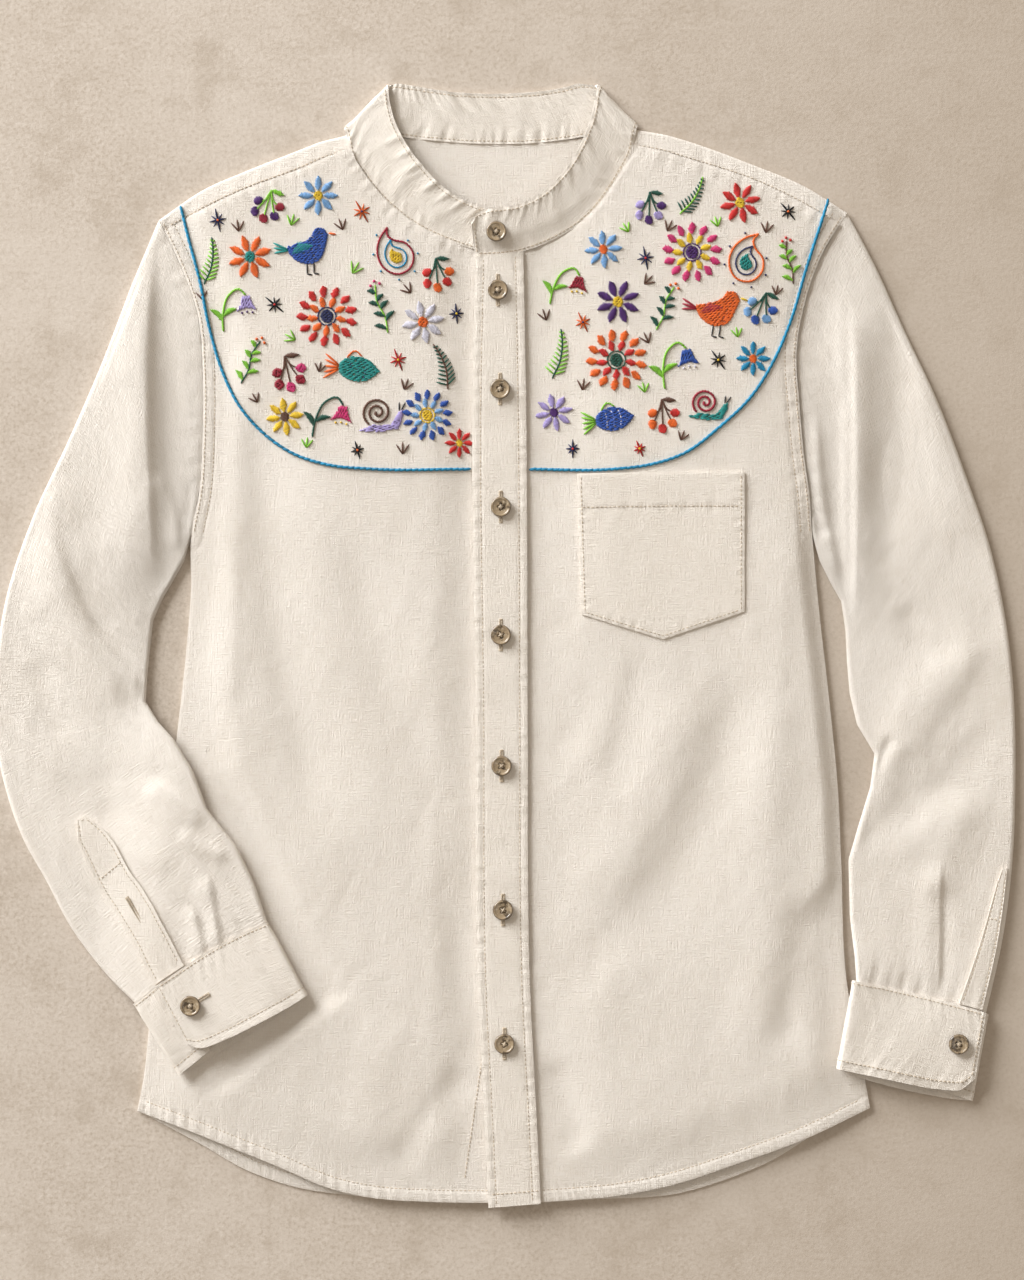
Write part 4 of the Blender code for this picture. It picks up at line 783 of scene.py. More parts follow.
def masked_wall(name: str, outer: Array, inner: Array, cut: Array, keep: Array, material):
    """Closed wall between two equal grids, of the cells that keep marks as cloth."""
    rows, columns = outer.shape[:2]
    base = rows * columns
    cells = grid_quads(rows, columns).reshape(rows - 1, columns - 1, 4)
    kept = cells[keep]
    padded = np.pad(keep, 1)
    beyond = [padded[:-2, 1:-1], padded[1:-1, 2:], padded[2:, 1:-1], padded[1:-1, :-2]]
    rims = []
    for side, neighbour in enumerate(beyond):
        open_cells = cells[keep & ~neighbour]
        start, end = open_cells[:, side], open_cells[:, (side + 1) % 4]
        rims.append(np.stack([end, start, base + start, base + end], axis=1))
    points = np.concatenate([outer.reshape(-1, 3), inner.reshape(-1, 3)])
    flat = np.concatenate([cut.reshape(-1, 2)] * 2)
    faces = np.concatenate([kept, base + kept[:, ::-1]] + rims)
    used, packed = np.unique(faces, return_inverse=True)
    return make_object(name, points[used], [packed.reshape(faces.shape)], flat[used], material)


# Finishes

class Shader:
    """A material's or a group's node tree, with short ways to add nodes and link them."""

    def __init__(self, tree) -> None:
        """Keep the tree."""
        self.tree = tree

    def add(self, kind: str, values: Optional[dict] = None, **settings):
        """Add a node, set its properties, and set or link its inputs by name or number."""
        node = self.tree.nodes.new(kind)
        for name, value in settings.items():
            setattr(node, name, value)
        self.put(node, values or {})
        return node

    def put(self, node, values: dict) -> None:
        """Set or link a node's inputs by name or number."""
        for name, value in values.items():
            if isinstance(value, bpy.types.NodeSocket):
                self.tree.links.new(value, node.inputs[name])
            else:
                node.inputs[name].default_value = value

    def math(self, operation: str, *values, clamp: bool = False):
        """Output of a Math node."""
        return self.add("ShaderNodeMath", dict(enumerate(values)), operation=operation,
                        use_clamp=clamp).outputs[0]

    def times(self, first, second):
        """Product of two values."""
        return self.math("MULTIPLY", first, second)

    def plus(self, first, second):
        """Sum of two values."""
        return self.math("ADD", first, second)

    def swing(self, value, factor, middle: float = 0.5):
        """How far a value is from its middle, times a factor."""
        return self.times(self.math("SUBTRACT", value, middle), factor)

    def vector(self, operation: str, *values):
        """Output of a Vector Math node."""
        return self.add("ShaderNodeVectorMath", dict(enumerate(values)), operation=operation).outputs[0]

    def noise(self, vector, scale: float, detail: float = 2.0, roughness: float = 0.5):
        """Output of a Noise texture."""
        return self.add("ShaderNodeTexNoise", {"Vector": vector, "Scale": scale, "Detail": detail,
                                               "Roughness": roughness}).outputs["Fac"]

    def remap(self, value, low: float, high: float, to_low: float, to_high: float):
        """Output of a Map Range node."""
        return self.add("ShaderNodeMapRange", {0: value, 1: low, 2: high, 3: to_low, 4: to_high}).outputs[0]

    def blend(self, share, first, second):
        """Colour between two colours, each an output or a tuple."""
        first, second = ((*tone, 1.0) if isinstance(tone, tuple) else tone for tone in (first, second))
        return self.add("ShaderNodeMix", {0: share, 6: first, 7: second}, data_type="RGBA").outputs[2]

    def bump(self, height, strength: float, distance: float):
        """Normal that is bent by a height, over a distance in metres."""
        return self.add("ShaderNodeBump", {"Height": height, "Strength": strength,
                                           "Distance": distance}).outputs[0]


class Material(Shader):
    """A new material's node tree, which ends in a Principled shader."""

    def __init__(self, name: str) -> None:
        """Make the material."""
        self.made = bpy.data.materials.new(name)
        self.made.use_nodes = True
        super().__init__(self.made.node_tree)

    def place(self):
        """Coordinates in the object's space, metres."""
        return self.add("ShaderNodeTexCoord").outputs["Object"]

    def cut(self):
        """Coordinates on the flat cloth or along the thread, metres."""
        return self.add("ShaderNodeUVMap", uv_map="cut").outputs[0]

    def finish(self, inputs: dict):
        """Set or link the Principled shader's inputs, and give the material."""
        self.put(self.tree.nodes["Principled BSDF"], inputs)
        return self.made


def new_group(name: str, inputs: Sequence[tuple], outputs: Sequence[tuple]):
    """Empty shader node group with named sockets, and its input and output nodes."""
    tree = bpy.data.node_groups.new(name, "ShaderNodeTree")
    for label, kind, value in inputs:
        socket = tree.interface.new_socket(label, in_out="INPUT", socket_type=kind)
        if value is not None:
            socket.default_value = value
    for label, kind in outputs:
        tree.interface.new_socket(label, in_out="OUTPUT", socket_type=kind)
    shader = Shader(tree)
    return shader, shader.add("NodeGroupInput"), shader.add("NodeGroupOutput")


def build_weave_group():
    """Plain weave on the flat cloth's coordinates.

    Two sets of threads cross: the product of two sine waves gives each crossing its bump, slow noise
    bends the threads, and long thin noise makes some of them thicker. Grain adds the small crinkle of
    washed cotton.
    """
    shader, given, put = new_group(
        "cotton weave",
        [("Vector", "NodeSocketVector", None), ("Pitch", "NodeSocketFloat", 0.9),
         ("Grain", "NodeSocketFloat", 1.0), ("Slub", "NodeSocketFloat", 1.0)],
        [("Height", "NodeSocketFloat"), ("Tone", "NodeSocketFloat")])
    millimetres = shader.vector("SCALE", given.outputs["Vector"])
    millimetres.node.inputs["Scale"].default_value = 1000.0
    wobble = shader.swing(shader.noise(millimetres, 0.11, 2.0), 5.0)
    parts = shader.add("ShaderNodeSeparateXYZ", {0: millimetres})
    turns = shader.math("DIVIDE", 2 * math.pi, given.outputs["Pitch"])
    weft = shader.math("SINE", shader.times(shader.plus(parts.outputs[0], wobble), turns))
    warp = shader.math("SINE", shader.times(shader.math("SUBTRACT", parts.outputs[1], wobble), turns))
    cross = shader.times(weft, warp)
    along = shader.vector("MULTIPLY", millimetres, (1.9, 0.09, 1.0))
    across = shader.vector("MULTIPLY", millimetres, (0.09, 1.9, 1.0))
    slubs = shader.plus(shader.noise(along, 1.0, 1.5), shader.noise(across, 1.0, 1.5))
    slubs = shader.swing(slubs, given.outputs["Slub"], 1.0)
    grain = shader.swing(shader.noise(millimetres, 0.62, 3.0, 0.62), given.outputs["Grain"])
    height = shader.plus(shader.times(cross, 0.22), slubs)
    height = shader.plus(height, shader.times(grain, 0.9))
    tone = shader.plus(shader.times(slubs, 0.8), shader.times(grain, 0.5))
    shader.put(put, {"Height": height, "Tone": tone})
    return shader.tree


@dataclass(frozen=True)
class CottonFinish:
    """Washed unbleached cotton: its mean colour, how much the tone wanders, and its thread pitch."""

    name: str
    colour: tuple = (0.845, 0.782, 0.718)
    shade: tuple = (0.720, 0.636, 0.546)
    pitch: float = 0.95
    bump: float = 0.0008
    grain: float = 1.0

    def build(self, weave):
        """Material with the weave's bump, a wandering tone and slightly darker slubs."""
        shader = Material(self.name)
        place = shader.place()
        threads = shader.add("ShaderNodeGroup", {"Vector": shader.cut(), "Pitch": self.pitch,
                                                 "Grain": self.grain}, node_tree=weave)
        mottle, warm = shader.noise(place, 14.0, 3.0), shader.noise(place, 46.0, 2.0)
        tone = shader.plus(shader.swing(mottle, -0.55),
                           shader.times(threads.outputs["Tone"], -1.2))
        tone = shader.plus(tone, shader.swing(warm, -0.30))
        tone = shader.math("ADD", tone, 0.10, clamp=True)
        return shader.finish({
            "Base Color": shader.blend(tone, self.colour, self.shade),
            "Roughness": shader.remap(threads.outputs["Tone"], -0.4, 0.4, 0.98, 0.82),
            "Normal": shader.bump(threads.outputs["Height"], 0.75, self.bump),
            "Sheen Weight": 0.12, "Sheen Roughness": 0.45, "Specular IOR Level": 0.22})


@dataclass(frozen=True)
class FloorFinish:
    """Pale speckled table top that the shirt lies on, darker towards the right with painted shade."""

    colour: tuple = (0.584, 0.507, 0.436)
    # The speck tone is also the painted shade on the right of the floor.
    speck_and_shade: tuple = (0.437, 0.361, 0.288)
    light: tuple = (0.670, 0.597, 0.529)

    def build(self):
        """Material with fine specks in a darker and a lighter tone, a shallow grain, and painted shade that
        darkens it towards the right.
        """
        shader = Material("pale stone")
        place = shader.place()
        fine = shader.noise(place, 360.0, 4.0, 0.65)
        broad = shader.noise(place, 60.0, 3.0, 0.6)
        cloud = shader.noise(place, 7.0, 4.0, 0.62)
        worn = shader.noise(place, 21.0, 6.0, 0.70)
        base = self.colour
        for noise, limits, tone in ((fine, (0.50, 0.67, 0.0, 0.80), self.speck_and_shade),
                                    (fine, (0.46, 0.31, 0.0, 0.75), self.light),
                                    (broad, (0.4, 0.75, 0.0, 0.30), self.speck_and_shade),
                                    (cloud, (0.42, 0.66, 0.0, 0.42), self.light),
                                    (worn, (0.53, 0.66, 0.0, 0.50), self.speck_and_shade)):
            base = shader.blend(shader.remap(noise, *limits), base, tone)
        lines = shader.noise(place, 105.0, 5.0, 0.66)
        lines = shader.math("ABSOLUTE", shader.math("SUBTRACT", lines, 0.5))
        lines = shader.times(shader.remap(lines, 0.0, 0.018, 0.62, 0.0),
                            shader.remap(worn, 0.44, 0.60, 0.25, 1.0))
        base = shader.blend(lines, base, self.speck_and_shade)
        # Painted shade: further right, the floor is blended towards the speck tone to stand in for the key
        # light falling off.
        right = shader.add("ShaderNodeSeparateXYZ", {0: place}).outputs[0]
        base = shader.blend(shader.remap(right, -0.10, 0.42, 0.0, 0.66), base, self.speck_and_shade)
        return shader.finish({"Base Color": base, "Normal": shader.bump(fine, 0.5, 0.0004),
                              "Roughness": 0.85})


@dataclass(frozen=True)
class ThreadFinish:
    """Mercerised cotton thread, in the colour that each stitch carries."""

    twist: float = 0.85
    # How far the colour is darkened in the twist grooves: painted shade.
    groove_shade: float = 0.30

    def build(self):
        """Material with slanted twist grooves along each thread, bumped and darkened there with painted
        shade.
        """
        shader = Material("thread")
        millimetres = shader.vector("MULTIPLY", shader.cut(), (1000.0, 1000.0, 1.0))
        parts = shader.add("ShaderNodeSeparateXYZ", {0: millimetres})
        slanted = shader.plus(parts.outputs[0], shader.times(parts.outputs[1], 0.9))
        wave = shader.math("SINE", shader.times(slanted, 2 * math.pi / self.twist))
        # Painted shade in the twist grooves.
        shade = shader.remap(wave, -1.0, 1.0, 1.0 - self.groove_shade, 1.0)
        colour = shader.add("ShaderNodeAttribute", attribute_name="thread").outputs["Color"]
        shades = shader.add("ShaderNodeCombineXYZ", {0: shade, 1: shade, 2: shade}).outputs[0]
        return shader.finish({"Base Color": shader.vector("MULTIPLY", colour, shades),
                              "Normal": shader.bump(wave, 0.5, 0.00012), "Roughness": 0.52,
                              "Sheen Weight": 0.15, "Specular IOR Level": 0.35})


@dataclass(frozen=True)
class HornFinish:
    """Polished mottled horn: a mid brown with dark and pale clouds and a darker rim."""

    base: tuple = (0.330, 0.245, 0.155)
    dark: tuple = (0.055, 0.036, 0.022)
    pale: tuple = (0.600, 0.510, 0.380)
    rim: float = 0.0059

    def build(self):
        """Material with clouds in two sizes, read in the object's space, and the rim from its radius."""
        shader = Material("horn")
        place = shader.place()
        clouds = shader.noise(place, 230.0, 2.0, 0.55)
        veins = shader.noise(place, 520.0, 3.0, 0.6)
        reach = shader.add("ShaderNodeSeparateXYZ", {0: shader.cut()}).outputs[0]
        base = shader.blend(shader.remap(clouds, 0.52, 0.66, 0.0, 0.9), self.base, self.dark)
        base = shader.blend(shader.remap(veins, 0.55, 0.70, 0.0, 0.8), base, self.pale)
        base = shader.blend(shader.remap(reach, self.rim, self.rim + 0.0009, 0.0, 0.65), base, self.dark)
        return shader.finish({"Base Color": base, "Normal": shader.bump(veins, 0.15, 0.0002),
                              "Roughness": shader.remap(clouds, 0.3, 0.7, 0.34, 0.22),
                              "Coat Weight": 0.5, "Coat Roughness": 0.12})


@dataclass
class Finishes:
    """Every finish of the shirt, built once."""

    panel: object = field(init=False)
    double: object = field(init=False)
    thread: object = field(init=False)
    horn: object = field(init=False)

    def __post_init__(self) -> None:
        """Build the shared groups and then the materials."""
        weave = build_weave_group()
        self.panel = CottonFinish("cotton").build(weave)
        self.double = CottonFinish("cotton, doubled", colour=(0.855, 0.788, 0.716), grain=0.8).build(weave)
        self.thread = ThreadFinish().build()
        self.horn = HornFinish().build()


def wear(made, node: str, flat: tuple, area: float, rests_on: Sequence[str]) -> None:
    """Args:
        made: the piece.
        node: the CAD node that it stands for.
        flat: width and length of the cut, metres; not used.
        area: its flat area, square metres; not used.
        rests_on: what it lies on; not used.
    """
    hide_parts(node)
    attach(made, "root")
    LOG.info("%s: %d faces", made.name, len(made.data.polygons))


# The body

@dataclass
class Front:
    """One front panel, from the hem to the yoke seam and neck, with its hem and felled armhole."""

    side: Side
    finishes: Finishes
    flat: tuple = (0.275, 0.690)
    area: float = 0.152
    columns: int = 186
    fine: float = 1.3
    coarse: float = 2.4
    step: int = 3

    @property
    def seed(self) -> int:
        """Start of this panel's random draws."""
        return 11 if self.side is Side.RIGHT else 47

    @property
    def edge(self) -> Sequence[Point]:
        """Side seam and armhole."""
        return RIGHT_EDGE if self.side is Side.RIGHT else LEFT_EDGE

    def armhole_line(self) -> Array:
        """The armhole, from the armpit up."""
        return edge_points(self.edge, np.linspace(ARMPIT_Y, self.edge[-1].y, 40))

    def hem_line(self) -> Array:
        """The hem's edge."""
        return spline(HEM_RIGHT if self.side is Side.RIGHT else HEM_LEFT, even(90))

    def side_line(self) -> Array:
        """The side seam."""
        return edge_points(self.edge, np.linspace(self.edge[0].y, ARMPIT_Y, 60))

    def top_line(self, count: int = 30) -> Array:
        """The yoke seam and the neck, from the wearer's right to left."""
        shares = even(count)
        if self.side is Side.RIGHT:
            return np.concatenate([yoke_seam(YOKE_SEAM_RIGHT, RIGHT_EDGE, shares)[:-1],
                                   spline(NECK_FRONT_RIGHT, shares)])
        return np.concatenate([spline(NECK_FRONT_LEFT, shares)[:-1],
                               yoke_seam(YOKE_SEAM_LEFT, LEFT_EDGE, shares)])

    def height(self, x: Array, y: Array) -> Array:
        """Top of the cloth over the plan: the solid's lift, soft wear wrinkles, and the sewn edges."""
        side = to_line(x, y, self.side_line())
        arm = to_line(x, y, self.armhole_line())
        hem = to_line(x, y, self.hem_line())
        top = to_line(x, y, self.top_line())
        free = smooth_step(np.minimum(side.distance, hem.distance) / 26.0)
        relief = crumple(x, y, self.seed) * (0.35 + 0.65 * free)
        relief += sewn_strip(hem, HEM_DEPTH, self.seed + 20)
        relief += sewn_strip(arm, FELLED_WIDTH, self.seed + 21, rise=0.30, wave=0.16, pitch=9.0)
        relief += 0.22 * pucker(top.along, self.seed + 22, 9.0) * bell(top.distance - 3.0, 6.0)
        relief -= 0.45 * bell(top.distance, 1.6) + 0.4 * bell(side.distance, 1.2)
        return front_lift(x, y) + CLOTH + relief + body_puff(x, y)

    def plan(self) -> Array:
        """Grid of plan points from the hem up and from the wearer's right to left."""
        right = self.side is Side.RIGHT
        marks = even(self.columns + 1)
        top = self.top_line(self.columns * 7 // 17)
        top = read_line(top, arc_shares(top), marks)
        shares = graded(FRONT_LENGTH, self.fine, EDGE_REACH, self.coarse, self.step)
        bottom = spline(HEM_RIGHT if right else HEM_LEFT, marks)
        top_y = top[0][1] if right else top[-1][1]
        side = edge_points(self.edge, self.edge[0].y + (top_y - self.edge[0].y) * shares)
        centre = spline(STAND_EDGE if right else PLACKET_SEAM, shares)
        plan = coons(bottom, top, *((side, centre) if right else (centre, side)))
        neck_corner = (NECK_FRONT_RIGHT if right else NECK_FRONT_LEFT)[0 if right else -1]
        reach = np.hypot(plan[..., 0] - neck_corner[0], plan[..., 1] - neck_corner[1])
        plan[..., 0] += (1.0 if right else -1.0) * NECK_TUCK * bell(reach, 9.0)
        return plan

    def build(self) -> None:
        """The panel."""
        plan = self.plan()
        top = self.height(plan[..., 0], plan[..., 1])
        under = np.maximum(top - CLOTH, SIDE_LIFT - 0.2)
        name = f"front_{self.side.value}"
        made = cloth_wall(name, plan, top, under, self.finishes.panel, self.step)
        wear(made, name, self.flat, self.area, ["back"])


@dataclass
class Back:
    """Back panel below the yoke, flat on the surface; only its hem shows below the fronts."""

    finishes: Finishes
    flat: tuple = (0.505, 0.635)
    area: float = 0.285
    columns: int = 318
    step: int = 3

    def height(self, x: Array, y: Array) -> Array:
        """Top of the cloth: its wall and the puckered hem."""
        hem = to_line(x, y, curve(HEM_BACK, 90))
        return CLOTH + 0.15 + sewn_strip(hem, HEM_DEPTH, 83, rise=0.1, wave=0.2)

    def build(self) -> None:
        """The panel."""
        marks = even(self.columns + 1)
        bottom = spline(HEM_BACK, marks)
        low, high = RIGHT_EDGE[0].y, BACK_YOKE_Y - SEAM_GAP
        shares = graded(high - low, 1.4, EDGE_REACH, 8.0, self.step)
        left = edge_points(RIGHT_EDGE, low + (high - low) * shares)
        right = edge_points(LEFT_EDGE, LEFT_EDGE[0].y + (high - LEFT_EDGE[0].y) * shares)
        top = np.linspace(left[-1], right[-1], self.columns + 1)
        plan = coons(bottom, top, left, right)
        height = self.height(plan[..., 0], plan[..., 1])
        made = cloth_wall("back", plan, height, 0.0, self.finishes.panel, self.step)
        wear(made, "back", self.flat, self.area, [])


@dataclass
class Yoke:
    """Yoke: flat under the shoulders, folded over the shoulder lines onto the fronts."""

    finishes: Finishes
    flat: tuple = (0.480, 0.125)
    area: float = 0.052
    parts: int = 9
    under_rows: int = 14
    seam_rows: int = 9
    turn_angle: float = 67.5
    turn_rows: int = 7
    neck_reach: float = 8.0

    def build(self) -> None:
        """The piece: the under layer, the turn as an arc, and the strip down to the yoke seam."""
        shares = even(7 * self.parts + 1)
        neck = curve(NECK_BACK, 12 * self.parts + 1)[1:-1]
        line = np.concatenate([spline(SHOULDER_RIGHT, shares), neck, spline(SHOULDER_LEFT, shares)])
        columns, edge_columns = len(line), len(shares)
        out = np.zeros((columns, 2))
        out[:edge_columns], out[-edge_columns:] = YOKE_OUT_RIGHT, YOKE_OUT_LEFT
        radius = (FRONT_LIFT - SEAM_DIP) / 2
        under_edge = line - out * (radius + CLOTH / 2)
        bottom = np.linspace([float(edge_x(RIGHT_EDGE, BACK_YOKE_Y)), BACK_YOKE_Y],
                             [float(edge_x(LEFT_EDGE, BACK_YOKE_Y)), BACK_YOKE_Y], columns)
        left = edge_points(RIGHT_EDGE, np.linspace(BACK_YOKE_Y, under_edge[0, 1], self.under_rows + 1))
        right = edge_points(LEFT_EDGE, np.linspace(BACK_YOKE_Y, under_edge[-1, 1], self.under_rows + 1))
        left[-1], right[-1] = under_edge[0], under_edge[-1]
        under = coons(bottom, under_edge, left, right)
        inside = 0.12 * ripples(under[..., 0], under[..., 1], 5, 60, 18)
        inside = inside * smooth_step((line[None, :, 1] - under[..., 1]) / 15.0)
        outer, inner = list(with_height(under, 0.0)), list(with_height(under, CLOTH + inside))
        centre = radius + CLOTH / 2
        for angle in np.radians(np.linspace(-self.turn_angle, self.turn_angle, self.turn_rows)):
            for grid, size in ((outer, radius + CLOTH / 2), (inner, radius - CLOTH / 2)):
                turned = under_edge + out * size * math.cos(angle)
                grid.append(with_height(turned, centre + size * math.sin(angle)))
        seam_right = yoke_seam(YOKE_SEAM_RIGHT, RIGHT_EDGE, shares) + np.array(YOKE_OUT_RIGHT) * SEAM_GAP
        seam_left = yoke_seam(YOKE_SEAM_LEFT, LEFT_EDGE, shares) + np.array(YOKE_OUT_LEFT) * SEAM_GAP
        seam = np.concatenate([seam_right, neck, seam_left])
        for share in even(self.seam_rows):
            row = under_edge + (seam - under_edge) * share
            flat_height = 2 * radius + CLOTH
            folds = front_lift(row[:, 0], row[:, 1]) + CLOTH
            reach = np.linalg.norm(seam - row, axis=1)
            ground = 0.22 * pucker(row[:, 0], 31, 11.0) * smooth_step(share / 0.4)
            top = (1 - share) * flat_height + share * folds + ground - 0.45 * bell(reach, 1.6)
            outer.append(with_height(row, top))
            inner.append(with_height(row, np.maximum(top - CLOTH, CLOTH + 0.3)))
        outer, inner = np.array(outer), np.array(inner)
        for first, last, way in ((0, edge_columns, 1.0), (columns - edge_columns, columns, -1.0)):
            share = even(edge_columns)
            share = share if way > 0 else share[::-1]
            shift = way * self.neck_reach * smooth_step((share - 0.86) / 0.14)
            for grid in (outer, inner):
                grid[self.under_rows:, first:last, 0] += shift
        self.seam_paths = [outer[-2, 2:edge_columns - 1], outer[-2, columns - edge_columns + 1:-2]]
        keep = np.ones((len(outer) - 1, columns - 1), bool)
        keep[self.under_rows:, edge_columns - 1:columns - edge_columns] = False
        made = masked_wall("yoke_cloth", outer, inner, outer[..., :2], keep, self.finishes.panel)
        wear(made, "yoke", self.flat, self.area, ["back"])


@dataclass
class Placket:
    """Buttonhole placket: two layers with a row of stitching inside each long edge."""

    finishes: Finishes
    flat: tuple = (0.037, 0.656)
    area: float = 0.024
    stitch_inset: float = 5.6

    def height(self, x: Array, y: Array) -> Array:
        """Top of the placket: the solid's height, a dip along each row and puckers across the edges."""
        left = to_line(x, y, curve(PLACKET_LEFT, 60))
        right = to_line(x, y, curve(PLACKET_RIGHT, 60))
        relief = 0.16 * ripples(x, y, 61, 60, 20, math.pi / 2, 1.2)
        for near, seed in ((left, 62), (right, 63)):
            relief += 0.20 * pucker(near.along, seed, 9.0) * bell(near.distance - 2.5, 3.6)
            relief -= 0.40 * bell(near.distance - self.stitch_inset, 0.9) + 0.35 * bell(near.distance, 0.9)
        return front_lift(x, y) + CLOTH + LAY_GAP + DOUBLE + relief

    def build(self) -> None:
        """The piece."""
        shares = even(361)
        across = even(28)[None, :, None]
        left, right = spline(PLACKET_LEFT, shares), spline(PLACKET_RIGHT, shares)
        plan = left[:, None] * (1 - across) + right[:, None] * across
        top = self.height(plan[..., 0], plan[..., 1])
        under = front_lift(plan[..., 0], plan[..., 1]) + CLOTH + LAY_GAP + 0.2
        made = cloth_wall("placket", plan, top, under, self.finishes.double)
        wear(made, "placket", self.flat, self.area, ["front_right", "front_left"])


@dataclass
class Pocket:
    """Patch pocket with a pointed lower edge and a deep turned hem."""

    finishes: Finishes
    flat: tuple = (0.116, 0.116)
    area: float = 0.0122
    hem: float = 23.5
    edge_inset: float = 2.4

    def rows(self) -> list:
        """Plan lines of its stitching: across the hem, and round the sides and the point."""
        across = curve(POCKET_TOP, 24) - np.array([0.0, self.hem])
        down_left = np.array([POCKET_TOP[0], POCKET_BOTTOM[0]], float) + np.array([self.edge_inset, 0.0])
        down_right = np.array([POCKET_TOP[-1], POCKET_BOTTOM[-1]], float) - np.array([self.edge_inset, 0.0])
        bottom = np.array(POCKET_BOTTOM, float) + np.array([0.0, self.edge_inset])
        return [trimmed(across, 2, 2), trimmed(down_left, 1, 1), trimmed(down_right, 1, 1),
                trimmed(bottom, 2, 2)]

    def height(self, x: Array, y: Array) -> Array:
        """Top of the pocket: the front's height and its own wall, hem and stitched edge."""
        top = to_line(x, y, curve(POCKET_TOP, 24))
        edge = np.concatenate([[POCKET_TOP[0]], bent(POCKET_BOTTOM, 24), [POCKET_TOP[-1]]])
        near = to_line(x, y, edge)
        relief = 0.30 * (1 - smooth_step((top.distance - self.hem + 0.5) / 1.6))
        relief += 0.14 * pucker(top.along, 72, 11.0) * bell(top.distance - self.hem, 5.0)
        relief -= 0.28 * bell(top.distance - self.hem, 0.8) + 0.3 * bell(top.distance, 0.8)
        relief += 0.18 * pucker(near.along, 73, 9.0) * bell(near.distance - 2.5, 4.0)
        relief -= 0.22 * bell(near.distance - 2.4, 0.8) + 0.35 * bell(near.distance, 0.9)
        relief += crumple(x, y, 74, 0.2)
        return front_lift(x, y) + CLOTH + LAY_GAP + PATCH + relief + body_puff(x, y)

    def build(self) -> None:
        """The piece."""
        top, bottom = bent(POCKET_TOP, 40), bent(POCKET_BOTTOM, 40)
        rows = even(79)[:, None, None]
        plan = bottom[None] * (1 - rows) + top[None] * rows
        high = self.height(plan[..., 0], plan[..., 1])
        made = cloth_wall("pocket", plan, high, high - PATCH - 0.3, self.finishes.double)
        wear(made, "pocket", self.flat, self.area, ["front_left"])


# Bands and cuffs

def fold_over(before: Strip, line: Strip, after: Strip, radius: float) -> list:
    """Three strips round a folded edge, between the strip before it and the strip after it."""
    middle = np.array(line, float)
    strips = []
    for source in (before, after):
        strip = middle.copy()
        for start in (0, 3):
            inward = np.array(source[start:start + 2]) - middle[start:start + 2]
            strip[start:start + 2] += inward / max(float(np.linalg.norm(inward)), 1e-9) * radius
            strip[start + 2] = source[start + 2]
        strips.append(strip)
    return [strips[0], middle, strips[1]]


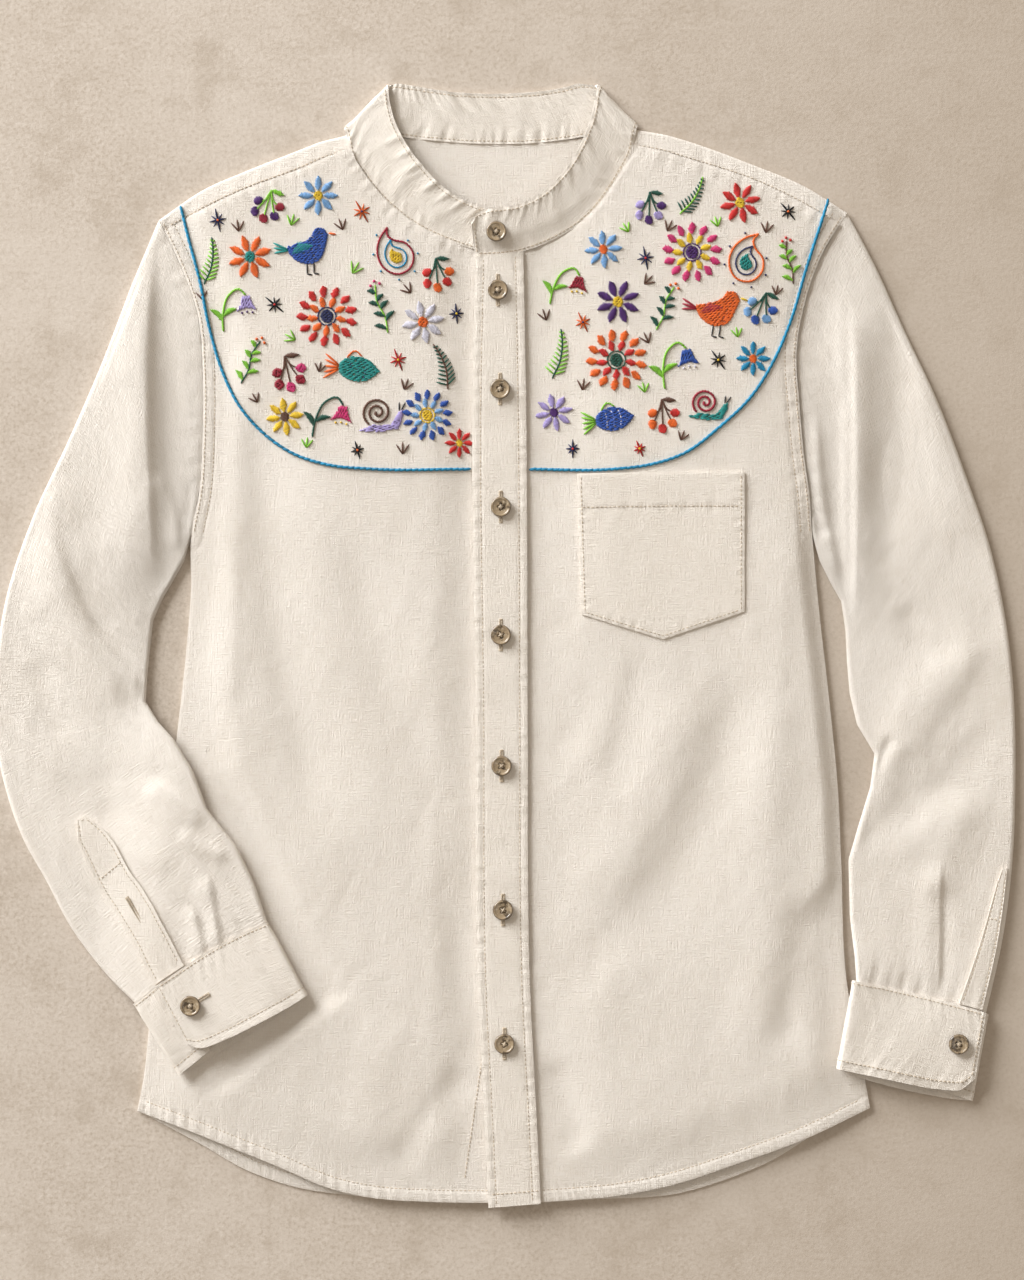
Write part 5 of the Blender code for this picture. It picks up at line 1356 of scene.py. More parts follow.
@dataclass
class Band:
    """A folded band of cloth: strips from its seam to its free edge, one after another along it."""

    name: str
    strips: list
    finishes: Finishes
    flat: tuple
    area: float
    rests_on: tuple
    rest: Optional[Callable] = None
    thickness: float = DOUBLE - 0.2
    pitch: float = 1.5
    across: int = 30
    seed: int = 101
    wave: float = 0.5
    seam_inset: float = 2.0
    edge_inset: float = 2.0
    seam_reach: float = 0.45
    settle: Optional[Callable] = None
    settle_width: float = 6.0
    settle_share: float = 0.55

    def grid(self) -> tuple:
        """Middle of the wall and its outward direction.

        Between the strips the points follow curves that never overshoot. What the band lies on is
        added at the seam and the edge, and where it bulges between them the wall is carried over it.
        """
        rows = np.array(self.strips, float)
        if self.rest is not None:
            rows[:, 2] += self.rest(rows[:, 0], rows[:, 1])
            rows[:, 5] += self.rest(rows[:, 3], rows[:, 4])
        steps = np.diff(rows, axis=0)
        lengths = (np.linalg.norm(steps[:, :3], axis=1) + np.linalg.norm(steps[:, 3:], axis=1)) / 2
        at = np.concatenate([[0.0], np.cumsum(lengths)])
        counts = np.maximum(4, np.round(lengths / self.pitch)).astype(int)
        counts[-1] += -counts.sum() % 3
        where = np.concatenate([np.linspace(at[index], at[index + 1], count + 1)[:-1]
                                for index, count in enumerate(counts)] + [[at[-1]]])
        fine = hermite(rows, at, steady_slopes(rows, at), where)
        fine[:, :2] += unit(fine[:, :2] - fine[:, 3:5]) * self.seam_reach
        shares = even(self.across + 1)[None, :, None]
        middle = fine[:, None, :3] * (1 - shares) + fine[:, None, 3:] * shares
        if self.rest is not None:
            ground = self.rest(middle[..., 0], middle[..., 1])
            straight = ground[:, :1] * (1 - shares[..., 0]) + ground[:, -1:] * shares[..., 0]
            middle[..., 2] += np.maximum(ground - straight, 0.0)
        forward = unit(np.gradient(middle, where, axis=0))
        return middle, unit(np.cross(np.gradient(middle, axis=1), forward)), where

    def relief(self, where: Array, width: Array, length: Array) -> Array:
        """Height of the wrinkles over the band: puckers at both rows of stitching and uneven ground."""
        along, over = np.broadcast_to(where[:, None], width.shape), width
        far = length - over
        end = along - where[0]
        waves = pucker(along + 0.5 * over, self.seed, 7.5) * bell(over - 3.0, 0.20 * length)
        waves = waves + pucker(along - 0.4 * over, self.seed + 1, 8.5) * bell(far - 4.0, 0.22 * length)
        ground = ripples(along, over, self.seed + 2, 50, 14, 0.1, 1.2)
        dips = bell(over - self.seam_inset, 0.8) + bell(far - self.edge_inset, 0.8) + bell(end - 2.9, 0.8)
        welts = bell(over - 0.9, 0.9) + bell(far - 0.9, 0.9) + bell(end - 0.9, 0.9)
        return self.wave * (0.55 * waves + 0.5 * ground) - 0.34 * dips + 0.22 * welts

    def build(self) -> None:
        """The band as a closed wall of even thickness, wrinkled on both sides."""
        middle, outward, where = self.grid()
        length = np.linalg.norm(middle[:, -1] - middle[:, 0], axis=1)[:, None]
        width = even(self.across + 1)[None] * length
        half = self.thickness / 2
        relief = self.relief(where, width, length)
        self.outer = middle + outward * (half + relief)[..., None]
        self.inner = middle - outward * (half - 0.8 * relief + 0.3 * np.abs(relief))[..., None]
        if self.settle is not None:
            ground = self.settle(self.outer[..., 0], self.outer[..., 1])
            for grid, above in ((self.outer, self.thickness), (self.inner, 0.0)):
                spare = np.maximum(grid[..., 2] - ground - above, 0.0)
                near = smooth_step(ground - 2.0) * (1 - smooth_step(width / self.settle_width))
                grid[..., 2] -= near * spare * self.settle_share
        for grid in (self.outer, self.inner):
            grid[..., 2] = np.maximum(grid[..., 2], 0.05)
        self.outward, self.width = outward, width
        cut = np.stack([np.broadcast_to(where[:, None], width.shape), width], axis=-1)
        made = wall(f"{self.name}_cloth", self.outer, self.inner, cut, self.finishes.double, step=1)
        wear(made, self.name, self.flat, self.area, self.rests_on)

    def rows(self) -> list:
        """Paths of its stitching in space, and the cloth's direction up along each."""
        found = []
        for grid, sign in ((self.outer, 1.0), (self.inner, -1.0)):
            for inset, from_seam in ((self.seam_inset, True), (self.edge_inset, False)):
                reach = self.width[:, -1].mean()
                share = inset / reach if from_seam else 1 - inset / reach
                column = share * self.across
                low = int(column)
                over = column - low
                path = grid[:, low] * (1 - over) + grid[:, low + 1] * over
                found.append((path[2:-2], sign * self.outward[2:-2, low]))
            found.append((grid[2, 1:-2], sign * self.outward[2, 1:-2]))
        return found


def collar_ground(x: Array, y: Array) -> Array:
    """Top of the fronts, which the collar band is sewn to; nothing behind the shoulder lines."""
    on_front = (y < 343.0) | (np.abs(x + 9.0) > 97.0)
    return np.where(on_front, front_lift(x, y) + CLOTH + 0.1, 0.0)


def collar_band(finishes: Finishes) -> Band:
    """Collar band: a ring pressed flat, whose left end lies over its right end."""
    strips = list(BAND_FRONT_LEFT)
    strips += fold_over(BAND_FRONT_LEFT[-1], BAND_FOLD_LEFT, BAND_BACK[0], FOLD_ROUND) + BAND_BACK
    strips += fold_over(BAND_BACK[-1], BAND_FOLD_RIGHT, BAND_FRONT_RIGHT[0], FOLD_ROUND) + BAND_FRONT_RIGHT
    return Band("collar_band", strips, finishes, (0.470, 0.034), 0.0152,
                ("front_right", "front_left", "yoke"),
                wave=0.85, edge_inset=2.6, seam_reach=1.6, settle=collar_ground, settle_width=15.0)


def cuff(side: Side, finishes: Finishes) -> Band:
    """Cuff: over end, upper layer, fold, under layer, fold, and the under end between the two."""
    right = side is Side.RIGHT
    upper, fold, under, turn, end = (
        (CUFF_RIGHT_UPPER, CUFF_RIGHT_FOLD, CUFF_RIGHT_UNDER, CUFF_RIGHT_TURN, CUFF_RIGHT_END) if right else
        (CUFF_LEFT_UPPER, CUFF_LEFT_FOLD, CUFF_LEFT_UNDER, CUFF_LEFT_TURN, CUFF_LEFT_END))
    strips = list(upper) + fold_over(upper[-1], fold, under[0], FOLD_ROUND) + list(under)
    strips += fold_over(under[-1], turn, end[0], TURN_ROUND) + list(end)
    return Band(f"cuff_{side.value}", strips, finishes, (0.235, 0.058), 0.0125,
                (f"front_{side.value}",), under_right_sleeve if right else under_left_sleeve,
                across=39, seed=131 if right else 151, wave=0.34, edge_inset=6.2, seam_reach=1.3)


# Sleeves

@dataclass
class Sleeve:
    """Sleeve: a flattened tube with rounded edges, from the armhole to the cuff."""

    side: Side
    finishes: Finishes
    flat: tuple = (0.300, 0.470)
    area: float = 0.105
    upper_count: int = 112
    turn_count: int = 8
    turn_angle: float = 75.0
    under_count: int = 22
    rings: int = 192
    patch_rows: int = 61
    patch_columns: int = 19

    def __post_init__(self) -> None:
        """Choose the tables of this side."""
        right = self.side is Side.RIGHT
        self.table = np.array(SLEEVE_RIGHT if right else SLEEVE_LEFT, float)
        self.cuff_seam = CUFF_SEAM_RIGHT if right else CUFF_SEAM_LEFT
        self.rest = under_right_sleeve if right else under_left_sleeve
        self.folds = SLEEVE_RIGHT_FOLDS if right else SLEEVE_LEFT_FOLDS
        self.creases = SLEEVE_RIGHT_CREASES if right else SLEEVE_LEFT_CREASES
        edge = RIGHT_EDGE if right else LEFT_EDGE
        gap = -ARMHOLE_GAP if right else ARMHOLE_GAP
        low = ARMPIT_Y if right else ARMPIT_Y + 2
        self.armhole = edge_points(edge, np.linspace(edge[-1].y, low, 14)) + np.array([gap, 0.0])
        self.seed = 201 if right else 231
        margin = TUBE_ROUND / np.linalg.norm(self.table[:, 2:4] - self.table[:, :2], axis=1).min()
        self.shares = np.linspace(margin, 1 - margin, self.upper_count)
        self.along = even(self.rings + 1)

    def plan(self, across: Array) -> tuple:
        """Plan points and the tube's height at shares across its width, for every ring."""
        outer = spline(self.table[:, :2], self.along)
        keys = arc_shares(self.table[:, :2])
        inner = read_line(self.table[:, 2:4], keys, self.along)
        height = np.interp(self.along, keys, self.table[:, 4])
        plan = outer[:, None] * (1 - across[None, :, None]) + inner[:, None] * across[None, :, None]
        first, last = self.table[0], self.table[-1]
        over, along = across[:, None], self.along[:, None, None]
        start = spline(self.armhole, across) - (first[:2] * (1 - over) + first[2:4] * over)
        finish = spline(self.cuff_seam, across) - (last[:2] * (1 - over) + last[2:4] * over)
        return plan + start[None] * (1 - along) ** 5 + finish[None] * along ** 8, height

    def surface(self, across: Array) -> tuple:
        """Plan, underside and top of the tube at shares across it.

        The top is the solid's crown with its folds, plus wear wrinkles, the armhole's sewn edge and
        the small gathers at the cuff.
        """
        plan, height = self.plan(across)
        x, y = plan[..., 0], plan[..., 1]
        low = self.rest(x, y)
        width = self.widths()[:, None]
        inset = np.minimum(across[None], 1 - across[None]) * width
        near = bell(inset, EDGE_WIDTH)
        settle = smooth_step(self.along / 0.06)[:, None]
        crown = height[:, None] + fold_height(x, y, self.folds) * (1 - near) * settle
        arm = to_line(x, y, np.asarray(self.armhole, float))
        seam = to_line(x, y, spline(self.cuff_seam, even(30)))
        relief = crumple(x, y, self.seed, 0.34) * smooth_step(inset / 12.0)
        relief += 0.20 * pucker(arm.along, self.seed + 9, 12.0) * bell(arm.distance - 4, 8.0)
        relief += 0.22 * pucker(seam.along, self.seed + 10, 14.0) * bell(seam.distance - 4, 12.0)
        relief += fold_height(x, y, self.creases) * settle * smooth_step(inset / 9.0)
        relief -= 0.4 * bell(arm.distance, 1.2)
        relief *= smooth_step(inset / 4.0)
        return plan, low, low + np.maximum(crown + relief, 2 * CLOTH + 0.35)

    def widths(self) -> Array:
        """Width of the flattened tube at each ring."""
        plan, _ = self.plan(np.array([0.0, 1.0]))
        return np.linalg.norm(plan[:, 1] - plan[:, 0], axis=1)

    def tube(self, inset: float) -> Array:
        """Grid of one side of the wall: under, round the outer edge, over, and round the inner edge."""
        under_shares = np.linspace(self.shares[-1], self.shares[0], self.under_count)
        plan, low, _ = self.surface(under_shares)
        columns = [with_height(plan, low + inset)]
        angles = np.radians(np.linspace(-self.turn_angle, self.turn_angle, self.turn_count))
        top_plan, top_low, top = self.surface(self.shares)
        over = with_height(top_plan, top - inset)
        for end, order in ((0, angles), (-1, angles[::-1])):
            near_plan, near_low, near_top = top_plan[:, end], top_low[:, end], top[:, end]
            rim = self.plan(np.array([0.0 if end == 0 else 1.0]))[0][:, 0]
            outward = rim - near_plan
            reach = np.linalg.norm(outward, axis=1, keepdims=True)
            outward = outward / reach
            middle, half = (near_low + near_top) / 2, (near_top - near_low) / 2 - inset
            out = outward[:, None] * (reach[:, None] - inset)
            turn = near_plan[:, None] + out * np.cos(order)[None, :, None]
            columns.append(with_height(turn, middle[:, None] + half[:, None] * np.sin(order)[None]))
            if end == 0:
                columns.append(over)
        return np.concatenate(columns, axis=1)

    def build(self) -> None:
        """The tube."""
        outer, inner = self.tube(0.0), self.tube(CLOTH)
        across = np.linalg.norm(outer[..., :2] - self.plan(np.array([0.0]))[0], axis=-1)
        along = self.along[:, None] * self.flat[1] / MM * np.ones(outer.shape[1])[None]
        cut = np.stack([across, along], axis=-1)
        name = f"sleeve_{self.side.value}"
        made = wall(f"{name}_cloth", outer, inner, cut, self.finishes.panel, around=True)
        wear(made, name, self.flat, self.area, [])

    def placket_cut(self) -> tuple:
        """Width and length of the sleeve placket's cut, and its area, in metres."""
        return ((0.034, 0.088), 0.00285) if self.side is Side.RIGHT else ((0.018, 0.080), 0.00112)

    def placket(self) -> None:
        """Sleeve placket: points of the sleeve's own top between two lines, moved out."""
        right = self.side is Side.RIGHT
        rows = np.array(SLEEVE_PLACKET_RIGHT if right else SLEEVE_PLACKET_LEFT, float)
        lengths = np.linspace(rows[0, 0], rows[-1, 0], self.patch_rows)
        left, right = read_line(rows[:, 1:], rows[:, 0], lengths).T[..., None]
        shares = left + (right - left) * even(self.patch_columns)[None]
        plan, _, top = self.surface(self.shares)
        under = read_grid(with_height(plan, top), self.along, self.shares, lengths, shares)
        steps = np.arange(self.patch_columns)
        inset = np.minimum(steps, steps[::-1])[None] * np.ones((self.patch_rows, 1))
        relief = -0.34 * bell(inset - 2.0, 0.9) + 0.15 * bell(inset - 0.5, 0.8)
        self.patch = under + (relief + PATCH + 0.45)[..., None] * UP
        name = f"sleeve_placket_{self.side.value}"
        made = wall(f"{name}_cloth", self.patch, under + 0.12 * UP, under[..., :2], self.finishes.double)
        wear(made, name, *self.placket_cut(), [f"sleeve_{self.side.value}"])

    def placket_rows(self) -> list:
        """Paths of the placket's stitching: near both long edges, and across below its point."""
        return [self.patch[1:-1, 2], self.patch[1:-1, 16], self.patch[1, 3:-3], self.patch[22, 2:17]]


def read_grid(grid: Array, row_keys: Array, column_keys: Array, rows: Array, columns: Array) -> Array:
    """Points of a grid between its own rows and columns, by linear steps both ways."""
    row = np.interp(rows, row_keys, np.arange(len(row_keys)))[:, None] * np.ones(columns.shape)
    column = np.interp(columns, column_keys, np.arange(len(column_keys)))
    low_row = np.clip(row.astype(int), 0, len(row_keys) - 2)
    low_column = np.clip(column.astype(int), 0, len(column_keys) - 2)
    down, over = (row - low_row)[..., None], (column - low_column)[..., None]
    near = grid[low_row, low_column] * (1 - over) + grid[low_row, low_column + 1] * over
    far = grid[low_row + 1, low_column] * (1 - over) + grid[low_row + 1, low_column + 1] * over
    return near * (1 - down) + far * down


# Threads and stitches

@dataclass
class Stitches:
    """Stitches gathered for one mesh: each a short bent thread whose two ends go into the cloth."""

    sides: int = 5
    seed: int = 7
    rows: list = field(default_factory=list)

    def add(self, first: Array, middle: Array, last: Array, radius: float, colour: Colour,
            up: Optional[Array] = None) -> None:
        """Add stitches by their first, middle and last points on the cloth and the cloth's direction up."""
        count = len(first)
        if count:
            up = np.tile(UP, (count, 1)) if up is None else up
            self.rows.append((first, middle, last, up, np.full(count, radius),
                              np.tile(colour.value, (count, 1))))

    def build(self, name: str, material) -> None:
        """One mesh of all stitches.

        Each is a tube of four rings. Their centres follow the parabola through the stitch's three
        points, raised in the middle and sunk at the ends, and their radii shrink at the ends.
        """
        first, middle, last, up, radius, colour = (np.concatenate(part) for part in zip(*self.rows))
        count = len(first)
        t = np.array([0.0, 0.24, 0.76, 1.0])
        lift = np.array([-0.35, 0.62, 0.62, -0.35])
        girth = np.array([0.42, 1.0, 1.0, 0.42])
        weight = [(2 * t - 1) * (t - 1), 4 * t * (1 - t), t * (2 * t - 1)]
        centres = sum(w[None, :, None] * part[:, None] for w, part in zip(weight, (first, middle, last)))
        centres = centres + up[:, None] * (lift[None, :, None] * radius[:, None, None])
        length = np.linalg.norm(last - first, axis=1)
        axis = unit(last - first)
        across = unit(np.cross(axis, up))
        above = np.cross(across, axis)
        angles = 2 * math.pi * (np.arange(self.sides) + 0.25) / self.sides
        spokes = (across[:, None] * np.cos(angles)[None, :, None]
                  + above[:, None] * np.sin(angles)[None, :, None])
        reach = girth[None, :, None, None] * radius[:, None, None, None]
        points = centres[:, :, None] + spokes[:, None] * reach
        rings = len(t)
        tube = grid_quads(rings, self.sides, True)[:, ::-1]
        per = rings * self.sides
        offsets = (np.arange(count) * per)[:, None, None]
        quads = (tube[None] + offsets).reshape(-1, 4)
        caps = np.stack([np.arange(self.sides), np.arange(per - 1, per - 1 - self.sides, -1)])
        caps = (caps[None] + offsets).reshape(-1, self.sides)
        along = t[None, :, None] * length[:, None, None] + 3.7 * np.arange(count)[:, None, None]
        side = np.broadcast_to(np.cos(angles)[None, None] * radius[:, None, None], (count, rings, self.sides))
        cut = np.stack([np.broadcast_to(along, side.shape), side], axis=-1).reshape(-1, 2)
        shade = 1.0 + 0.09 * np.random.default_rng(self.seed).standard_normal(count)
        colours = np.repeat(np.clip(colour * shade[:, None], 0.0, 1.0), per, axis=0)
        made = make_object(name, points.reshape(-1, 3), [quads, caps], cut, material, colours, ALL_SMOOTH)
        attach(made, "root")
        LOG.info("%s: %d stitches", name, count)


def resample(path: Array, step: float) -> Array:
    """Points at even distances along a line."""
    at = reached(path)
    count = max(1, round(at[-1] / step))
    return read_line(path, at, np.linspace(0, at[-1], count + 1))


def offset(line: Array, distance: float) -> Array:
    """The plan line moved to its left by a distance."""
    return line + distance * to_left(unit(np.gradient(line, axis=0)))


def trimmed(line: Array, start: float, end: float) -> Array:
    """A line without its first and last millimetres."""
    fine = resample(line, 1.0)
    return fine[int(start):len(fine) - int(end)]


@dataclass
class Sewing:
    """Rows of machine stitching over the cloth."""

    stitches: Stitches = field(default_factory=lambda: Stitches(sides=4, seed=3))
    length: float = 2.25
    pitch: float = 3.0
    radius: float = 0.30
    hole_pitch: float = 0.62
    hole_sides: tuple = (0.15, 1.45)
    bar_reach: float = 1.5

    def row(self, path: Array, up: Optional[Array] = None) -> None:
        """One row along a path in space, with the cloth's direction up at each of its points."""
        joined = path if up is None else np.concatenate([path, up], axis=1)
        at = reached(path)
        starts = np.arange(self.pitch / 2, at[-1] - self.length, self.pitch)
        first, middle, last = (read_line(joined, at, starts + part * self.length) for part in (0.0, 0.5, 1.0))
        self.stitches.add(first[:, :3], middle[:, :3], last[:, :3], self.radius, Colour.SEWING,
                          None if up is None else middle[:, 3:])

    def over(self, line: Array, height: Callable) -> None:
        """One row along a plan line on cloth of that height."""
        fine = resample(line, 1.0)
        self.row(with_height(fine, height(fine[:, 0], fine[:, 1])))

    def buttonhole(self, centre: Array, direction: Array, up: Array, length: float) -> None:
        """Buttonhole: close stitches across both sides of a slit, and a bar at each end."""
        side = np.cross(up, direction)
        marks = np.linspace(-length / 2, length / 2, round(length / self.hole_pitch) + 1)[:, None]
        for sign in (-1.0, 1.0):
            inner, outer = (centre + direction * marks + side * sign * reach for reach in self.hole_sides)
            tops = np.tile(up, (len(marks), 1))
            self.stitches.add(inner, (inner + outer) / 2, outer, 0.34, Colour.SEWING, tops)
        for sign in (-1.0, 1.0):
            ends = centre + direction * (sign * (length / 2 + 0.3 * np.arange(3)))[:, None]
            tops = np.tile(up, (3, 1))
            self.stitches.add(ends - side * self.bar_reach, ends, ends + side * self.bar_reach, 0.36,
                              Colour.SEWING, tops)


@dataclass
class Needle:
    """Hand embroidery: line and filling stitches in a motif's own frame, laid on the cloth."""

    height: Callable
    seed: int = 17
    thread: float = 0.56
    line_thread: float = 0.70
    stem_step: float = 0.62
    slant: float = 0.42
    satin_pitch: float = 1.75
    fill_pitch: float = 1.62
    rows: list = field(default_factory=list)
    motif: Optional[Motif] = None

    def __post_init__(self) -> None:
        """Start the random draws."""
        self.draw = np.random.default_rng(self.seed)

    def placed(self, points: Array) -> Array:
        """Points of the motif's frame, whose unit is its size, on the cloth's plan."""
        if self.motif is None:
            return np.asarray(points, float)
        angle = math.radians(self.motif.turn)
        turn = np.array([[math.cos(angle), math.sin(angle)], [-math.sin(angle), math.cos(angle)]])
        return np.asarray(points, float) @ turn * self.motif.size + np.array([self.motif.x, self.motif.y])

    def keep(self, first: Array, last: Array, colour: Colour, radius: float, lift: float = 0.0) -> None:
        """Remember stitches by their plan points."""
        self.rows.append((first, last, colour, radius, lift))

    def line(self, points: Array, colour: Colour, radius: Optional[float] = None, stitch: float = 3.4,
             smooth: bool = True) -> None:
        """Stem stitch along a line: each stitch starts beside the last one, a little aslant."""
        radius = radius or self.line_thread
        path = self.placed(points)
        if smooth and len(path) > 2:
            path = spline(path, even(12 * len(path)))
        total = np.linalg.norm(np.diff(path, axis=0), axis=1).sum()
        count = max(1, round(total / (stitch * self.stem_step)))
        at = arc_shares(path)
        starts = np.linspace(0, max(0.0, 1 - stitch / max(total, stitch)), count)
        starts = np.clip(starts + self.draw.uniform(-0.12, 0.12, count) / count, 0, 1)
        ends = np.clip(starts + stitch / total, 0, 1)
        first, last = read_line(path, at, starts), read_line(path, at, ends)
        shift = to_left(unit(last - first)) * radius * self.slant
        self.keep(first - shift, last + shift, colour, radius)

    def straight(self, first: Sequence, last: Sequence, colour: Colour,
                 radius: Optional[float] = None) -> None:
        """Single straight stitches."""
        self.keep(self.placed(np.atleast_2d(first)), self.placed(np.atleast_2d(last)), colour,
                  radius or self.line_thread)

    def petal(self, root: Sequence, tip: Sequence, width: float, colour: Colour, slant: float = 0.28,
              bend: float = 0.0) -> None:
        """Satin petal or leaf: stitches across a curved spine, whose half width is a sine of its share."""
        ends = self.placed(np.array([root, tip], float))
        along = ends[1] - ends[0]
        length = np.linalg.norm(along)
        side = np.array([-along[1], along[0]]) / length
        half = width * (self.motif.size if self.motif else 1.0)
        count = max(3, round(length / (self.thread * self.satin_pitch)))
        t = (np.arange(count) + 0.5) / count
        spine = ends[0] + along * t[:, None] + side * (bend * length * np.sin(math.pi * t))[:, None]
        reach = half * np.sin(math.pi * np.clip(t, 0.04, 0.96)) ** 0.75
        reach = reach * (1 + 0.10 * self.draw.standard_normal(count))
        tilt = along / length * slant
        self.keep(spine - (side - tilt) * reach[:, None], spine + (side - tilt) * reach[:, None], colour,
                  self.thread, 0.25)

    def fill(self, outline: Sequence, colour: Colour, angle: float = 0.0, smooth: bool = True,
             longest: float = 6.5) -> None:
        """Long and short stitches inside an outline.

        Parallel rows cross the outline; each pair of crossings is filled with stitches end to end,
        whose joints are staggered from row to row.
        """
        shape = self.placed(outline)
        if smooth:
            shape = spline(np.concatenate([shape, shape[:1]]), even(10 * len(shape)))
        turn = math.radians(angle)
        axes = np.array([[math.cos(turn), -math.sin(turn)], [math.sin(turn), math.cos(turn)]])
        turned = shape @ axes
        start, end = turned, np.roll(turned, -1, axis=0)
        low, high = turned[:, 1].min(), turned[:, 1].max()
        pitch = self.thread * self.fill_pitch
        first, last = [], []
        for number, level in enumerate(np.arange(low + pitch * 0.45, high, pitch)):
            crosses = (start[:, 1] > level) != (end[:, 1] > level)
            share = (level - start[crosses, 1]) / (end[crosses, 1] - start[crosses, 1])
            hits = np.sort(start[crosses, 0] + share * (end[crosses, 0] - start[crosses, 0]))
            for left, right in zip(hits[::2], hits[1::2]):
                if right - left < 0.5:
                    continue
                parts = max(1, math.ceil((right - left) / longest))
                joints = np.linspace(left, right, parts + 1)
                joints[1:-1] += (0.30 if number % 2 else -0.30) * (right - left) / parts
                joints[1:-1] += self.draw.uniform(-0.6, 0.6, parts - 1)
                joints[[0, -1]] += self.draw.uniform(-0.25, 0.25, 2)
                first.append(np.column_stack([joints[:-1], np.full(parts, level)]))
                last.append(np.column_stack([joints[1:], np.full(parts, level)]))
        if first:
            self.keep(np.concatenate(first) @ axes.T, np.concatenate(last) @ axes.T, colour, self.thread, 0.2)

    def disc(self, centre: Sequence, radius: float, colour: Colour, angle: float = 20.0) -> None:
        """Filled circle."""
        turns = np.linspace(0, 2 * math.pi, 12, endpoint=False)
        self.fill(np.column_stack([np.cos(turns), np.sin(turns)]) * radius + centre, colour, angle)

    def knots(self, centres: Sequence, colour: Colour, radius: float = 0.75) -> None:
        """Knots: three short thick stitches across each other."""
        middle = self.placed(np.atleast_2d(centres))
        for angle in np.radians([10.0, 70.0, 130.0]):
            reach = np.array([math.cos(angle), math.sin(angle)]) * radius * 1.25
            self.keep(middle - reach, middle + reach, colour, radius, 0.3)

    def work(self, motif: Motif) -> None:
        """Stitch one motif."""
        self.motif = motif
        getattr(self, motif.kind.value)(motif)
        self.motif = None

    def around(self, count: int, start: float = 90.0) -> Array:
        """Directions spread evenly round a motif."""
        turns = np.radians(start + 360.0 * np.arange(count) / count)
        return np.column_stack([np.cos(turns), np.sin(turns)])

    def daisy(self, motif: Motif) -> None:
        """Eight satin petals round a filled middle, on the motif's first and second thread."""
        for way in self.around(8):
            self.petal(way * 0.26, way, 0.19, motif.first)
        self.disc((0, 0), 0.25, motif.second)

    def zinnia(self, motif: Motif) -> None:
        """Two rings of petals, an outlined middle and knots."""
        for way in self.around(13):
            self.petal(way * 0.62, way, 0.135, motif.first)
        for way in self.around(9, 100.0):
            self.petal(way * 0.30, way * 0.66, 0.115, motif.second)
        self.disc((0, 0), 0.22, motif.third)
        ring = self.around(18)
        self.line(np.concatenate([ring, ring[:1]]) * 0.30, motif.third, 0.5)

    def bell(self, motif: Motif) -> None:
        """Hanging bell flower on a curved stem with two leaves."""
        self.line([(-0.55, -1.0), (-0.50, -0.2), (-0.20, 0.55), (0.30, 0.80), (0.55, 0.48)], motif.second)
        self.petal((-0.53, -0.55), (-1.05, 0.0), 0.13, motif.second, bend=-0.12)
        self.petal((-0.50, -0.35), (0.10, -0.05), 0.13, motif.second, bend=0.12)
        self.fill([(0.40, 0.48), (0.72, 0.48), (0.84, 0.10), (1.0, -0.18), (0.56, -0.06), (0.12, -0.18),
                   (0.28, 0.10)], motif.first, 80.0, smooth=False)
        self.knots([(0.34, -0.26), (0.56, -0.22), (0.80, -0.26)], motif.third, 0.6)

    def sprig(self, motif: Motif) -> None:
        """Curved stem with leaves by turns on both sides and three berries at its end."""
        stem = spline([(0.0, -1.0), (0.10, -0.4), (-0.02, 0.25), (0.12, 0.85)], even(13))
        self.line(stem, motif.second, 0.55)
        for number, share in enumerate(np.linspace(0.12, 0.82, 7)):
            root = stem[round(share * 12)]
            sign = 1 if number % 2 else -1
            self.petal(root, root + np.array([sign * 0.40, 0.26]) * (1.1 - 0.5 * share), 0.10, motif.first,
                       bend=0.10 * sign)
        self.knots([(0.12, 0.98), (-0.06, 0.86), (0.28, 0.84)], motif.third, 0.8)

    def fern(self, motif: Motif) -> None:
        """Straight stitches in pairs along a bent stem, shorter towards its tip."""
        stem = spline([(-0.1, -1.0), (0.06, -0.3), (0.02, 0.4), (-0.16, 1.0)], even(12))
        self.line(stem, motif.second, 0.55)
        for share, root in zip(np.linspace(1.0, 0.25, 10), stem[1:11]):
            for sign in (-1, 1):
                self.straight(root, root + np.array([sign * 0.42, 0.24]) * share, motif.first, 0.6)

    def star(self, motif: Motif) -> None:
        """Long straight stitches through one middle and a knot."""
        for number, way in enumerate(self.around(4)):
            reach = 1.0 if number % 2 == 0 else 0.72
            self.straight(-way * reach, way * reach, motif.first)
            bent = np.array([way[0] * 0.707 - way[1] * 0.707, way[0] * 0.707 + way[1] * 0.707])
            if number < 2:
                self.straight(-bent * 0.66, bent * 0.66, motif.first, 0.55)
        self.knots([(0, 0)], motif.second, 0.8)

    def berries(self, motif: Motif) -> None:
        """Five round berries on short stems with one leaf."""
        spots = [(-0.62, -0.30), (-0.12, -0.62), (0.44, -0.42), (0.66, 0.10), (-0.52, 0.28)]
        for spot in spots:
            self.line([(0.10, 0.95), (spot[0] * 0.35 + 0.05, 0.35), spot], motif.second, 0.5)
        for number, spot in enumerate(spots):
            self.disc(spot, 0.25, motif.first if number % 2 else motif.third, 30.0 * number)
        self.petal((0.10, 0.92), (0.80, 0.75), 0.15, motif.second)

